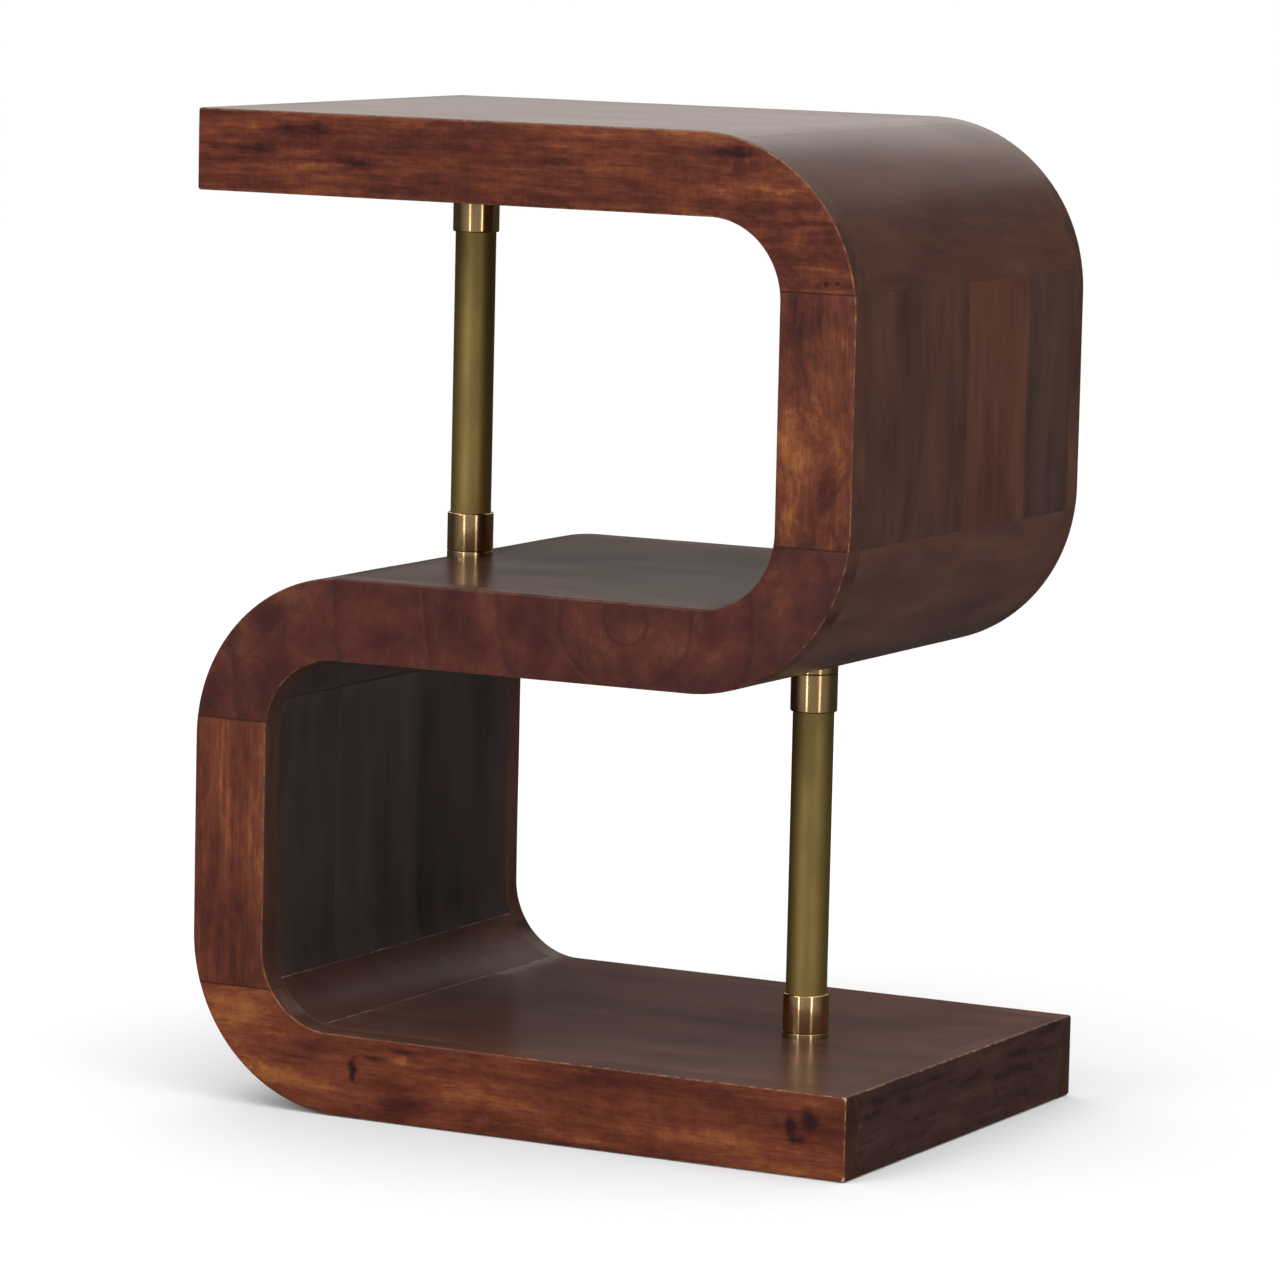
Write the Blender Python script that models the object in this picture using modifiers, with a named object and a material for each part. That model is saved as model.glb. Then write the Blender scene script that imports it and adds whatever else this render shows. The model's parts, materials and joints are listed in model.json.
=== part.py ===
"""S-shaped side table: a boxed wooden ribbon held open by two brass posts.

The ribbon runs along the top, down the right side, back along the shelf, down the
left side and along the base. Two edge frames, one at the front and one at the back,
carry the outline, and panels, corner staves and corner strips close the box between
them. X is the width, Y the depth with the front at -Y, and Z is up. The origin is on
the floor, under the middle of the table's box.
"""

import math

import bmesh
import bpy

# Driving dimensions, in metres
OVERALL_HEIGHT = 0.600
DEPTH = 0.315
LOOP_WIDTH = 0.436          # outer face of the left upright to that of the right one
TOP_OVERHANG = 0.004        # free end of the top past the left upright's face
BASE_OVERHANG = 0.007       # free end of the base past the right upright's face
SHELF_UNDERSIDE = 0.275     # height of the clear bay below the shelf, from the floor
TOP_THICKNESS = 0.049
SHELF_THICKNESS = 0.050
BASE_THICKNESS = 0.050
UPRIGHT_THICKNESS = 0.049
OUTER_RADIUS = 0.103
INNER_RADIUS = 0.047

FRAME_DEPTH = 0.016         # front to back size of each edge frame
PANEL_THICKNESS = 0.012
END_CAP_THICKNESS = 0.012
EASED_EDGE = 0.0015
GAP = 0.0003                # left between pieces that touch

# How far each joint reaches into the corner's curve, past the start of the curve
TOP_RIGHT_JOINT_INSET = 0.014
SHELF_RIGHT_JOINT_INSET = 0.0135
SHELF_LEFT_JOINT_INSET = 0.0125
BASE_LEFT_JOINT_INSET = 0.031
STRIP_INSET_UPRIGHT = 0.0195
STRIP_INSET_BOARD = 0.012

# Widths of the side staves, from the front; the last stave takes what is left
OUTER_STAVE_WIDTHS = (0.135, 0.083)
INNER_STAVE_WIDTHS = (0.068, 0.100)

POST_INTO_CURVE = 0.0045    # post's axis, past the start of the nearest outer corner's curve
TUBE_DIAMETER = 0.025
TUBE_WALL = 0.0015
COLLAR_WALL = 0.0014
COLLAR_HEIGHT = 0.0268      # from the board's face to the collar's rim
COLLAR_ROUND = 0.0008
FLANGE_SHOW = 0.0032        # height of the flange's disc above the board's face
RECESS_MARGIN = 0.0002
SPIGOT_HEIGHT = 0.012
SPIGOT_WALL = 0.0022
SCREW_DIAMETER = 0.0044
SCREW_HEAD_DIAMETER = 0.0090
SCREW_HEAD_HEIGHT = 0.0030
SCREW_BITE = 0.014          # length of screw inside the fixing block
SCREW_POINT = 0.003
SCREW_CLEARANCE = 0.0004
BLOCK_WIDTH = 0.036
BLOCK_LENGTH = 0.060
BLOCK_MARGIN = 0.0015       # from the block's side to the corner's joint

DOWEL_DIAMETER = 0.008
DOWEL_LENGTH = 0.040
DOWEL_CHAMFER = 0.001

ARC_STEP = math.radians(7.5)
ROUND_SEGMENTS = 32
SMALL_SEGMENTS = 16
CREASE_ANGLE = math.radians(30.0)   # above any turn between two flats of a curve
MERGE_DISTANCE = 0.00001
TURNED_MERGE_DISTANCE = 0.00005

# Places worked out from the driving dimensions
LEFT_FACE = -(LOOP_WIDTH + BASE_OVERHANG - TOP_OVERHANG) / 2
RIGHT_FACE = LEFT_FACE + LOOP_WIDTH
TOP_END = LEFT_FACE - TOP_OVERHANG
BASE_END = RIGHT_FACE + BASE_OVERHANG
SHELF_TOP = SHELF_UNDERSIDE + SHELF_THICKNESS
TOP_UNDERSIDE = OVERALL_HEIGHT - TOP_THICKNESS
FRONT = -DEPTH / 2
BACK = DEPTH / 2
INNER_FRONT = FRONT + FRAME_DEPTH + GAP
INNER_BACK = BACK - FRAME_DEPTH - GAP
POST_INSET = OUTER_RADIUS - POST_INTO_CURVE
BOARD_JOINT_INSET = POST_INTO_CURVE + BLOCK_WIDTH / 2 + BLOCK_MARGIN
FLANGE_RADIUS = TUBE_DIAMETER / 2 + GAP + COLLAR_WALL
FLANGE_REACH = FLANGE_RADIUS + POST_INTO_CURVE
CURVE_DROP = OUTER_RADIUS - math.sqrt(OUTER_RADIUS ** 2 - FLANGE_REACH ** 2)
FLANGE_RECESS = CURVE_DROP + RECESS_MARGIN

FINISHES = {
    "edge_wood": ((0.155, 0.040, 0.015), 0.38, 0.0),
    "face_wood": ((0.070, 0.034, 0.022), 0.32, 0.0),
    "core_wood": ((0.560, 0.400, 0.240), 0.70, 0.0),
    "satin_brass": ((0.300, 0.225, 0.075), 0.42, 1.0),
    "polished_brass": ((0.640, 0.420, 0.180), 0.16, 1.0),
    "steel": ((0.500, 0.500, 0.510), 0.35, 1.0),
}


class Corner:
    """A quarter turn of the ribbon. sx and sz point to the outside of the turn."""

    def __init__(self, name, face_x, face_z, sx, sz, board, joint_inset):
        self.name = name
        self.face_x = face_x
        self.face_z = face_z
        self.sx = sx
        self.sz = sz
        self.board = board
        self.joint_inset = joint_inset
        self.outer_centre = (face_x - sx * OUTER_RADIUS, face_z - sz * OUTER_RADIUS)
        self.inner_centre = (
            face_x - sx * (UPRIGHT_THICKNESS + INNER_RADIUS),
            face_z - sz * (board + INNER_RADIUS),
        )

    def arc(self, centre, radius, start, end):
        """Points from angle start to end: 0 faces the upright side, 90 the board side."""
        count = max(1, math.ceil(abs(end - start) / ARC_STEP))
        points = []
        for index in range(count + 1):
            angle = start + (end - start) * index / count
            x = centre[0] + self.sx * radius * math.cos(angle)
            z = centre[1] + self.sz * radius * math.sin(angle)
            points.append((x, z))
        return points

    def joint_height(self, shift=0.0):
        """Height of the level joint between this corner and its upright."""
        return self.outer_centre[1] + self.sz * (self.joint_inset + shift)

    def from_joint(self, centre, radius, shift, end):
        """The curve from the level joint to angle end.

        Where the joint lies short of the curve, the straight stretch between them
        belongs to the board's side, and the upright's side has no curve at all.
        """
        reach = self.sz * (self.joint_height(shift) - centre[1])
        if reach > 0:
            return self.arc(centre, radius, math.asin(reach / radius), end)
        straight = [(centre[0] + self.sx * radius, self.joint_height(shift))]
        if end == 0.0:
            return straight
        return straight + self.arc(centre, radius, 0.0, end)

    def outer_to_board(self, shift):
        return self.from_joint(self.outer_centre, OUTER_RADIUS, shift, math.pi / 2)

    def inner_to_board(self, shift):
        return self.from_joint(self.inner_centre, INNER_RADIUS, shift, math.pi / 2)

    def outer_to_upright(self, shift):
        return self.from_joint(self.outer_centre, OUTER_RADIUS, shift, 0.0)

    def inner_to_upright(self, shift):
        return self.from_joint(self.inner_centre, INNER_RADIUS, shift, 0.0)


TOP_RIGHT = Corner(
    "top_right", RIGHT_FACE, OVERALL_HEIGHT, 1, 1, TOP_THICKNESS, TOP_RIGHT_JOINT_INSET
)
SHELF_RIGHT = Corner(
    "shelf_right", RIGHT_FACE, SHELF_UNDERSIDE, 1, -1, SHELF_THICKNESS, SHELF_RIGHT_JOINT_INSET
)
SHELF_LEFT = Corner(
    "shelf_left", LEFT_FACE, SHELF_TOP, -1, 1, SHELF_THICKNESS, SHELF_LEFT_JOINT_INSET
)
BASE_LEFT = Corner(
    "base_left", LEFT_FACE, 0.0, -1, -1, BASE_THICKNESS, BASE_LEFT_JOINT_INSET
)
CORNERS = (TOP_RIGHT, SHELF_RIGHT, SHELF_LEFT, BASE_LEFT)


# Scene, materials and shared shape makers

def clear_scene():
    for item in list(bpy.data.objects):
        bpy.data.objects.remove(item, do_unlink=True)


def new_collection(name):
    collection = bpy.data.collections.new(name)
    bpy.context.scene.collection.children.link(collection)
    return collection


def finish_piece(piece, finish, smooth=False):
    """Give the piece its own material and shading."""
    colour, roughness, metallic = FINISHES[finish]
    material = bpy.data.materials.new(f"{piece.name}_{finish}")
    material.use_nodes = True
    shader = material.node_tree.nodes["Principled BSDF"]
    shader.inputs["Base Color"].default_value = (*colour, 1.0)
    shader.inputs["Roughness"].default_value = roughness
    shader.inputs["Metallic"].default_value = metallic
    piece.data.materials.clear()
    piece.data.materials.append(material)
    if smooth:
        piece.data.shade_smooth()
    return piece


def extruded(name, outline, front, back):
    """A solid whose XZ outline runs from the front to the back, as a mesh."""
    curve = bpy.data.curves.new(name, "CURVE")
    curve.dimensions = "2D"
    curve.fill_mode = "BOTH"
    curve.extrude = (back - front) / 2
    spline = curve.splines.new("POLY")
    spline.points.add(len(outline) - 1)
    for point, (x, z) in zip(spline.points, outline):
        point.co = (x, z, 0.0, 1.0)
    spline.use_cyclic_u = True
    flat = bpy.data.objects.new(f"{name}_outline", curve)
    flat.location = (0.0, (front + back) / 2, 0.0)
    flat.rotation_euler = (math.pi / 2, 0.0, 0.0)
    PARTS.objects.link(flat)
    bpy.context.view_layer.update()
    evaluated = flat.evaluated_get(bpy.context.evaluated_depsgraph_get())
    mesh = bpy.data.meshes.new_from_object(evaluated)
    mesh.transform(flat.matrix_world)
    bpy.data.objects.remove(flat, do_unlink=True)
    body = bmesh.new()
    body.from_mesh(mesh)
    bmesh.ops.remove_doubles(body, verts=body.verts, dist=MERGE_DISTANCE)
    bmesh.ops.recalc_face_normals(body, faces=body.faces)
    body.to_mesh(mesh)
    body.free()
    mesh.name = name
    piece = bpy.data.objects.new(name, mesh)
    PARTS.objects.link(piece)
    return piece


def ease_edges(piece, is_eased):
    """Chamfer the edges whose middle is_eased accepts."""
    body = bmesh.new()
    body.from_mesh(piece.data)
    chosen = []
    for edge in body.edges:
        start, end = edge.verts[0].co, edge.verts[1].co
        if edge.calc_face_angle(0.0) > CREASE_ANGLE and is_eased(start, end):
            chosen.append(edge)
    bmesh.ops.bevel(
        body, geom=chosen, offset=EASED_EDGE, offset_type="OFFSET",
        segments=1, affect="EDGES", clamp_overlap=True,
    )
    body.to_mesh(piece.data)
    body.free()


def turned(name, profile, segments):
    """A turned solid about Z. A closed profile stays off the axis."""
    mesh = bpy.data.meshes.new(name)
    on_axis = profile[0][0] == 0.0
    edges = [(index, index + 1) for index in range(len(profile) - 1)]
    if not on_axis:
        edges.append((len(profile) - 1, 0))
    mesh.from_pydata([(radius, 0.0, height) for radius, height in profile], edges, [])
    piece = bpy.data.objects.new(name, mesh)
    PARTS.objects.link(piece)
    screw = piece.modifiers.new("turn", "SCREW")
    screw.axis = "Z"
    screw.steps = segments
    screw.render_steps = segments
    screw.use_merge_vertices = True
    screw.merge_threshold = TURNED_MERGE_DISTANCE
    screw.use_smooth_shade = True
    return piece


def cut_round_hole(pieces, name, x, y, low, high, radius, segments=SMALL_SEGMENTS):
    """Cut one upright round hole, whose flats clear the radius, in every piece given."""
    bpy.ops.mesh.primitive_cylinder_add(
        vertices=segments, radius=radius / math.cos(math.pi / segments), depth=high - low,
        location=(x, y, (low + high) / 2),
    )
    cutter = bpy.context.active_object
    cutter.name = name
    cutter.hide_render = True
    cutter.display_type = "WIRE"
    for collection in list(cutter.users_collection):
        collection.objects.unlink(cutter)
    CUTTERS.objects.link(cutter)
    for piece in pieces:
        boolean = piece.modifiers.new(name, "BOOLEAN")
        boolean.operation = "DIFFERENCE"
        boolean.object = cutter


def box(name, low, high):
    """A plain block between two opposite corners."""
    size = [b - a for a, b in zip(low, high)]
    centre = [(a + b) / 2 for a, b in zip(low, high)]
    bpy.ops.mesh.primitive_cube_add(size=1.0, location=centre)
    piece = bpy.context.active_object
    piece.name = name
    piece.data.name = name
    piece.scale = size
    bpy.ops.object.transform_apply(location=False, rotation=False, scale=True)
    for collection in list(piece.users_collection):
        collection.objects.unlink(piece)
    PARTS.objects.link(piece)
    return piece


# Edge frames

def end_rail_outline(corner, end_x):
    """The top or base rail with its corner, from its free end round to the joint."""
    inner_z = corner.face_z - corner.sz * corner.board
    outline = [(end_x, inner_z), (end_x, corner.face_z)]
    outline += reversed(corner.outer_to_board(GAP / 2))
    outline += corner.inner_to_board(GAP / 2)
    return outline


def middle_rail_outline():
    """The shelf rail with the corner at each of its ends."""
    outline = SHELF_RIGHT.outer_to_board(GAP / 2)
    outline += reversed(SHELF_LEFT.inner_to_board(GAP / 2))
    outline += SHELF_LEFT.outer_to_board(GAP / 2)
    outline += reversed(SHELF_RIGHT.inner_to_board(GAP / 2))
    return outline


def stile_outline(lower, upper):
    """The upright between two corners of the same side."""
    outline = lower.outer_to_upright(-GAP / 2)
    outline += reversed(upper.outer_to_upright(-GAP / 2))
    outline += upper.inner_to_upright(-GAP / 2)
    outline += reversed(lower.inner_to_upright(-GAP / 2))
    return outline


def make_frame(side, front, back):
    """One edge frame in five pieces, doweled at its four joints."""
    outlines = {
        "top_rail": end_rail_outline(TOP_RIGHT, TOP_END),
        "right_stile": stile_outline(SHELF_RIGHT, TOP_RIGHT),
        "middle_rail": middle_rail_outline(),
        "left_stile": stile_outline(BASE_LEFT, SHELF_LEFT),
        "base_rail": end_rail_outline(BASE_LEFT, BASE_END),
    }
    exposed = FRONT if side == "front" else BACK
    joints = [corner.joint_height() for corner in CORNERS]

    def is_eased(start, end):
        middle = (start + end) / 2
        if abs(start.y - end.y) > GAP:
            return middle.x < LEFT_FACE - GAP or middle.x > RIGHT_FACE + GAP
        level = abs(start.z - end.z) < GAP
        at_joint = level and any(abs(middle.z - height) < GAP for height in joints)
        return abs(middle.y - exposed) < GAP and not at_joint

    pieces = {}
    for part, outline in outlines.items():
        piece = extruded(f"{side}_{part}", outline, front, back)
        ease_edges(piece, is_eased)
        pieces[part] = finish_piece(piece, "edge_wood")
    pairs = (
        (TOP_RIGHT, "top_rail", "right_stile"),
        (SHELF_RIGHT, "middle_rail", "right_stile"),
        (SHELF_LEFT, "middle_rail", "left_stile"),
        (BASE_LEFT, "base_rail", "left_stile"),
    )
    for corner, rail, stile in pairs:
        make_dowel(f"{side}_{corner.name}_dowel", corner, (front + back) / 2,
                   (pieces[rail], pieces[stile]))


def make_dowel(name, corner, y, pieces):
    """A wooden peg across one joint, and the holes it sits in."""
    x = corner.face_x - corner.sx * UPRIGHT_THICKNESS / 2
    z = corner.joint_height()
    radius = DOWEL_DIAMETER / 2
    half = DOWEL_LENGTH / 2
    cut_round_hole(pieces, f"{name}_hole", x, y, z - half - GAP, z + half + GAP, radius + GAP)
    profile = [
        (0.0, half),
        (radius - DOWEL_CHAMFER, half),
        (radius, half - DOWEL_CHAMFER),
        (radius, DOWEL_CHAMFER - half),
        (radius - DOWEL_CHAMFER, -half),
        (0.0, -half),
    ]
    dowel = turned(name, profile, SMALL_SEGMENTS)
    dowel.location = (x, y, z)
    finish_piece(dowel, "core_wood")


# Panels, staves and corner pieces between the frames

def panel_end(corner, inner):
    """The stretch of curve that a board panel carries, up to its plumb joint at a corner."""
    centre = corner.inner_centre if inner else corner.outer_centre
    radius = INNER_RADIUS if inner else OUTER_RADIUS
    inset = (STRIP_INSET_BOARD if inner else BOARD_JOINT_INSET) - GAP / 2
    return corner.arc(centre, radius, math.acos(inset / radius), math.pi / 2)


def board_panel(name, face_z, into, left, right):
    """A panel on one face of a board. left and right are its ends' surface points."""
    surface = left + right
    back_z = face_z + into * PANEL_THICKNESS
    outline = surface + [(surface[-1][0], back_z), (surface[0][0], back_z)]
    piece = extruded(name, outline, INNER_FRONT, INNER_BACK)
    return finish_piece(piece, "face_wood")


def make_board_panels():
    """Two panels on each of the three boards."""
    cap_left = TOP_END + END_CAP_THICKNESS + GAP
    cap_right = BASE_END - END_CAP_THICKNESS - GAP
    rows = (
        ("top_upper_panel", OVERALL_HEIGHT, -1,
         [(cap_left, OVERALL_HEIGHT)], panel_end(TOP_RIGHT, False)[::-1]),
        ("top_lower_panel", TOP_UNDERSIDE, 1,
         [(cap_left, TOP_UNDERSIDE)], panel_end(TOP_RIGHT, True)[::-1]),
        ("shelf_upper_panel", SHELF_TOP, -1,
         panel_end(SHELF_LEFT, False), panel_end(SHELF_RIGHT, True)[::-1]),
        ("shelf_lower_panel", SHELF_UNDERSIDE, 1,
         panel_end(SHELF_LEFT, True), panel_end(SHELF_RIGHT, False)[::-1]),
        ("base_upper_panel", BASE_THICKNESS, -1,
         panel_end(BASE_LEFT, True), [(cap_right, BASE_THICKNESS)]),
        ("base_lower_panel", 0.0, 1,
         panel_end(BASE_LEFT, False), [(cap_right, 0.0)]),
    )
    panels = {}
    for name, face_z, into, left, right in rows:
        panels[name] = board_panel(name, face_z, into, left, right)
    return panels


def outer_side_outline(lower, upper):
    """Section of the outer skin of one upright."""
    outline = lower.outer_to_upright(-GAP / 2)
    outline += reversed(upper.outer_to_upright(-GAP / 2))
    back_x = lower.face_x - lower.sx * PANEL_THICKNESS
    return outline + [(back_x, outline[-1][1]), (back_x, outline[0][1])]


def inner_side_outline(lower, upper):
    """Section of the inner skin of one upright, between two corner strips."""
    start = math.asin((STRIP_INSET_UPRIGHT - GAP / 2) / INNER_RADIUS)
    outline = lower.arc(lower.inner_centre, INNER_RADIUS, start, 0.0)
    outline += upper.arc(upper.inner_centre, INNER_RADIUS, 0.0, start)
    back_x = lower.face_x - lower.sx * (UPRIGHT_THICKNESS - PANEL_THICKNESS)
    return outline + [(back_x, outline[-1][1]), (back_x, outline[0][1])]


def make_staves(name, outline, widths):
    """Staves of the given widths side by side, and one more to fill the depth."""
    front = INNER_FRONT
    for number, width in enumerate(widths + (None,), start=1):
        back = INNER_BACK if width is None else front + width
        finish_piece(extruded(f"{name}_stave_{number}", outline, front, back), "face_wood")
        front = back + GAP


def make_upright_skins():
    """The outer and inner skins of both uprights."""
    make_staves("right_outer", outer_side_outline(SHELF_RIGHT, TOP_RIGHT), OUTER_STAVE_WIDTHS)
    make_staves("left_inner", inner_side_outline(BASE_LEFT, SHELF_LEFT), INNER_STAVE_WIDTHS)
    skins = (
        ("left_outer_panel", outer_side_outline(BASE_LEFT, SHELF_LEFT)),
        ("right_inner_panel", inner_side_outline(SHELF_RIGHT, TOP_RIGHT)),
    )
    for name, outline in skins:
        finish_piece(extruded(name, outline, INNER_FRONT, INNER_BACK), "face_wood")


def make_outer_corner(corner):
    """The rounded corner skin, between the upright's and the board's panels."""
    rise = corner.joint_inset + GAP / 2
    run = BOARD_JOINT_INSET + GAP / 2
    outline = []
    for radius in (OUTER_RADIUS, OUTER_RADIUS - PANEL_THICKNESS):
        start = math.asin(rise / radius)
        end = math.acos(run / radius)
        points = corner.arc(corner.outer_centre, radius, start, end)
        outline += points if radius == OUTER_RADIUS else reversed(points)
    piece = extruded(f"{corner.name}_outer_corner", outline, INNER_FRONT, INNER_BACK)
    finish_piece(piece, "face_wood")


def make_corner_strip(corner):
    """The hollowed strip that fills the inside of one corner."""
    start = math.asin((STRIP_INSET_UPRIGHT + GAP / 2) / INNER_RADIUS)
    end = math.acos((STRIP_INSET_BOARD + GAP / 2) / INNER_RADIUS)
    outline = corner.arc(corner.inner_centre, INNER_RADIUS, start, end)
    back_x = corner.face_x - corner.sx * (UPRIGHT_THICKNESS - PANEL_THICKNESS)
    back_z = corner.face_z - corner.sz * (corner.board - PANEL_THICKNESS)
    outline += [(outline[-1][0], back_z), (back_x, outline[0][1])]
    piece = extruded(f"{corner.name}_corner_strip", outline, INNER_FRONT, INNER_BACK)
    finish_piece(piece, "face_wood")


def make_end_cap(name, outer_x, inner_x, low, high):
    """The strip that closes a board's free end."""
    cap = box(
        name,
        (min(outer_x, inner_x), INNER_FRONT, low),
        (max(outer_x, inner_x), INNER_BACK, high),
    )

    def is_eased(start, end):
        at_end = abs(start.x - outer_x) < GAP and abs(end.x - outer_x) < GAP
        return at_end and abs(start.z - end.z) < GAP

    ease_edges(cap, is_eased)
    finish_piece(cap, "face_wood")


# Brass posts and their fixings

def make_tube(name, x, low_seat, high_seat):
    """The post itself, standing between the flanges of its two ends."""
    clear = FLANGE_SHOW + GAP
    outer = TUBE_DIAMETER / 2
    inner = outer - TUBE_WALL
    low = low_seat + clear
    high = high_seat - clear
    tube = turned(name, [(outer, high), (outer, low), (inner, low), (inner, high)], ROUND_SEGMENTS)
    tube.location = (x, 0.0, 0.0)
    tube.data.shade_smooth()
    finish_piece(tube, "satin_brass")


def collar_profile():
    """The sleeve over the tube's end, rounded at both outer rims."""
    inner = TUBE_DIAMETER / 2 + GAP
    outer = FLANGE_RADIUS
    low = FLANGE_SHOW + GAP
    high = COLLAR_HEIGHT
    profile = [(inner, high)]
    for height, start in ((high - COLLAR_ROUND, 90), (low + COLLAR_ROUND, 0)):
        for degrees in (start, start - 45, start - 90):
            angle = math.radians(degrees)
            profile.append((
                outer - COLLAR_ROUND + COLLAR_ROUND * math.cos(angle),
                height + COLLAR_ROUND * math.sin(angle),
            ))
    profile.append((inner, low))
    return profile


def flange_profile():
    """The foot disc with the spigot that the tube slides over."""
    low = GAP - FLANGE_RECESS
    top = FLANGE_SHOW
    spigot = TUBE_DIAMETER / 2 - TUBE_WALL - GAP
    hole = SCREW_DIAMETER / 2 + SCREW_CLEARANCE
    return [
        (spigot, top + SPIGOT_HEIGHT),
        (spigot, top),
        (FLANGE_RADIUS, top),
        (FLANGE_RADIUS, low),
        (hole, low),
        (hole, top),
        (spigot - SPIGOT_WALL, top),
        (spigot - SPIGOT_WALL, top + SPIGOT_HEIGHT),
    ]


def screw_profile(block_face):
    """A round-headed wood screw, from its head down to its point."""
    seat = FLANGE_SHOW + GAP
    head = SCREW_HEAD_DIAMETER / 2
    shank = SCREW_DIAMETER / 2
    tip = block_face - SCREW_BITE
    crown = SCREW_HEAD_HEIGHT / 2
    return [
        (0.0, seat + SCREW_HEAD_HEIGHT),
        (head - crown, seat + SCREW_HEAD_HEIGHT),
        (head, seat + crown),
        (head, seat),
        (shank, seat),
        (shank, tip + SCREW_POINT),
        (0.0, tip),
    ]


def make_post_end(name, x, seat, out, board, panel):
    """Flange, collar, screw and hidden block at one end of a post.

    out is 1 where the post stands up from the board and -1 where it hangs below it.
    """
    block_face = -(PANEL_THICKNESS + GAP)
    fittings = (
        (f"{name}_flange", flange_profile(), ROUND_SEGMENTS, "polished_brass"),
        (f"{name}_collar", collar_profile(), ROUND_SEGMENTS, "polished_brass"),
        (f"{name}_screw", screw_profile(block_face), SMALL_SEGMENTS, "steel"),
    )
    for part, profile, segments, finish in fittings:
        fitting = turned(part, profile, segments)
        fitting.location = (x, 0.0, seat)
        fitting.rotation_euler = (0.0 if out == 1 else math.pi, 0.0, 0.0)
        finish_piece(fitting, finish)
    far_face = -(board - PANEL_THICKNESS - GAP)
    levels = sorted((seat + out * block_face, seat + out * far_face))
    block = box(
        f"{name}_block",
        (x - BLOCK_WIDTH / 2, -BLOCK_LENGTH / 2, levels[0]),
        (x + BLOCK_WIDTH / 2, BLOCK_LENGTH / 2, levels[1]),
    )
    finish_piece(block, "core_wood")
    recess = sorted((seat - out * FLANGE_RECESS, seat + out * FLANGE_RECESS))
    cut_round_hole(
        (panel,), f"{name}_recess", x, 0.0, *recess, FLANGE_RADIUS + GAP, ROUND_SEGMENTS
    )
    hole = sorted((seat + out * FLANGE_RECESS, seat + out * (block_face - SCREW_BITE - GAP)))
    hole_radius = SCREW_DIAMETER / 2 + SCREW_CLEARANCE
    cut_round_hole((panel, block), f"{name}_screw_hole", x, 0.0, *hole, hole_radius)


def make_posts(panels):
    """The upper post on the left and the lower post on the right."""
    posts = (
        ("upper_post", LEFT_FACE + POST_INSET, SHELF_TOP, TOP_UNDERSIDE,
         SHELF_THICKNESS, TOP_THICKNESS, "shelf_upper_panel", "top_lower_panel"),
        ("lower_post", RIGHT_FACE - POST_INSET, BASE_THICKNESS, SHELF_UNDERSIDE,
         BASE_THICKNESS, SHELF_THICKNESS, "base_upper_panel", "shelf_lower_panel"),
    )
    for name, x, low, high, low_board, high_board, low_panel, high_panel in posts:
        make_tube(name, x, low, high)
        make_post_end(f"{name}_foot", x, low, 1, low_board, panels[low_panel])
        make_post_end(f"{name}_head", x, high, -1, high_board, panels[high_panel])


clear_scene()
PARTS = new_collection("s_side_table")
CUTTERS = new_collection("cutters")
make_frame("front", FRONT, FRONT + FRAME_DEPTH)
make_frame("back", BACK - FRAME_DEPTH, BACK)
board_panels = make_board_panels()
make_upright_skins()
for turn in CORNERS:
    make_outer_corner(turn)
    make_corner_strip(turn)
make_end_cap("top_end_cap", TOP_END, TOP_END + END_CAP_THICKNESS, TOP_UNDERSIDE, OVERALL_HEIGHT)
make_end_cap("base_end_cap", BASE_END, BASE_END - END_CAP_THICKNESS, 0.0, BASE_THICKNESS)
make_posts(board_panels)
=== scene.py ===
"""Looks for the S-shaped side table: fine wooden pieces, brass posts, floor, light and camera."""

import json
import math

import bmesh
import bpy
from mathutils import Matrix, Vector, noise


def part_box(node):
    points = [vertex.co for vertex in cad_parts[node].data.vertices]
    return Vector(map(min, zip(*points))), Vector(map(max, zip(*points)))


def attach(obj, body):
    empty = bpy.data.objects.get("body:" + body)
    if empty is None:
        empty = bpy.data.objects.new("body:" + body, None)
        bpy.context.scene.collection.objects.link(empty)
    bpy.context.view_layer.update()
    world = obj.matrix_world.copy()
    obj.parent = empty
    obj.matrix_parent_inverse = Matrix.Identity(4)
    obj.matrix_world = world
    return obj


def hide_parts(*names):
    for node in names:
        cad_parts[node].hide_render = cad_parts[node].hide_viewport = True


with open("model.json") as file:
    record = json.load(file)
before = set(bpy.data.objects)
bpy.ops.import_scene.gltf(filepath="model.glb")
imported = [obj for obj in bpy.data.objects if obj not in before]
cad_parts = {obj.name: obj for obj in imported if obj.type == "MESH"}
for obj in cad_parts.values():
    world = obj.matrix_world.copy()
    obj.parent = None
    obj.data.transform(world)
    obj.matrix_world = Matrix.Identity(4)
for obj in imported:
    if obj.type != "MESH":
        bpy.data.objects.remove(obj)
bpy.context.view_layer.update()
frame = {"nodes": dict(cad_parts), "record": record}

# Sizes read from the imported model
MOUNTS = {mount["name"]: mount["pos_m"] for mount in frame["record"]["mounts"]}
TOP = MOUNTS["top_face"][2]
SHELF_TOP = MOUNTS["shelf_face"][2]
BASE_TOP = MOUNTS["base_face"][2]
TOP_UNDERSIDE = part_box("top_end_cap")[0].z
BOARD = BASE_TOP  # the shelf is as thick as the base
UPRIGHT = TOP - TOP_UNDERSIDE  # the uprights are as thick as the top
SHELF_UNDERSIDE = SHELF_TOP - BOARD
LEFT_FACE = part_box("left_outer_panel")[0].x
RIGHT_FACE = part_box("right_outer_stave_1")[1].x
TOP_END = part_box("top_end_cap")[0].x
BASE_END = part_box("base_end_cap")[1].x
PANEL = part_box("top_upper_panel")[1].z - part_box("top_upper_panel")[0].z
UPPER_POST_X = (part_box("upper_post")[0].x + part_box("upper_post")[1].x) / 2
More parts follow.
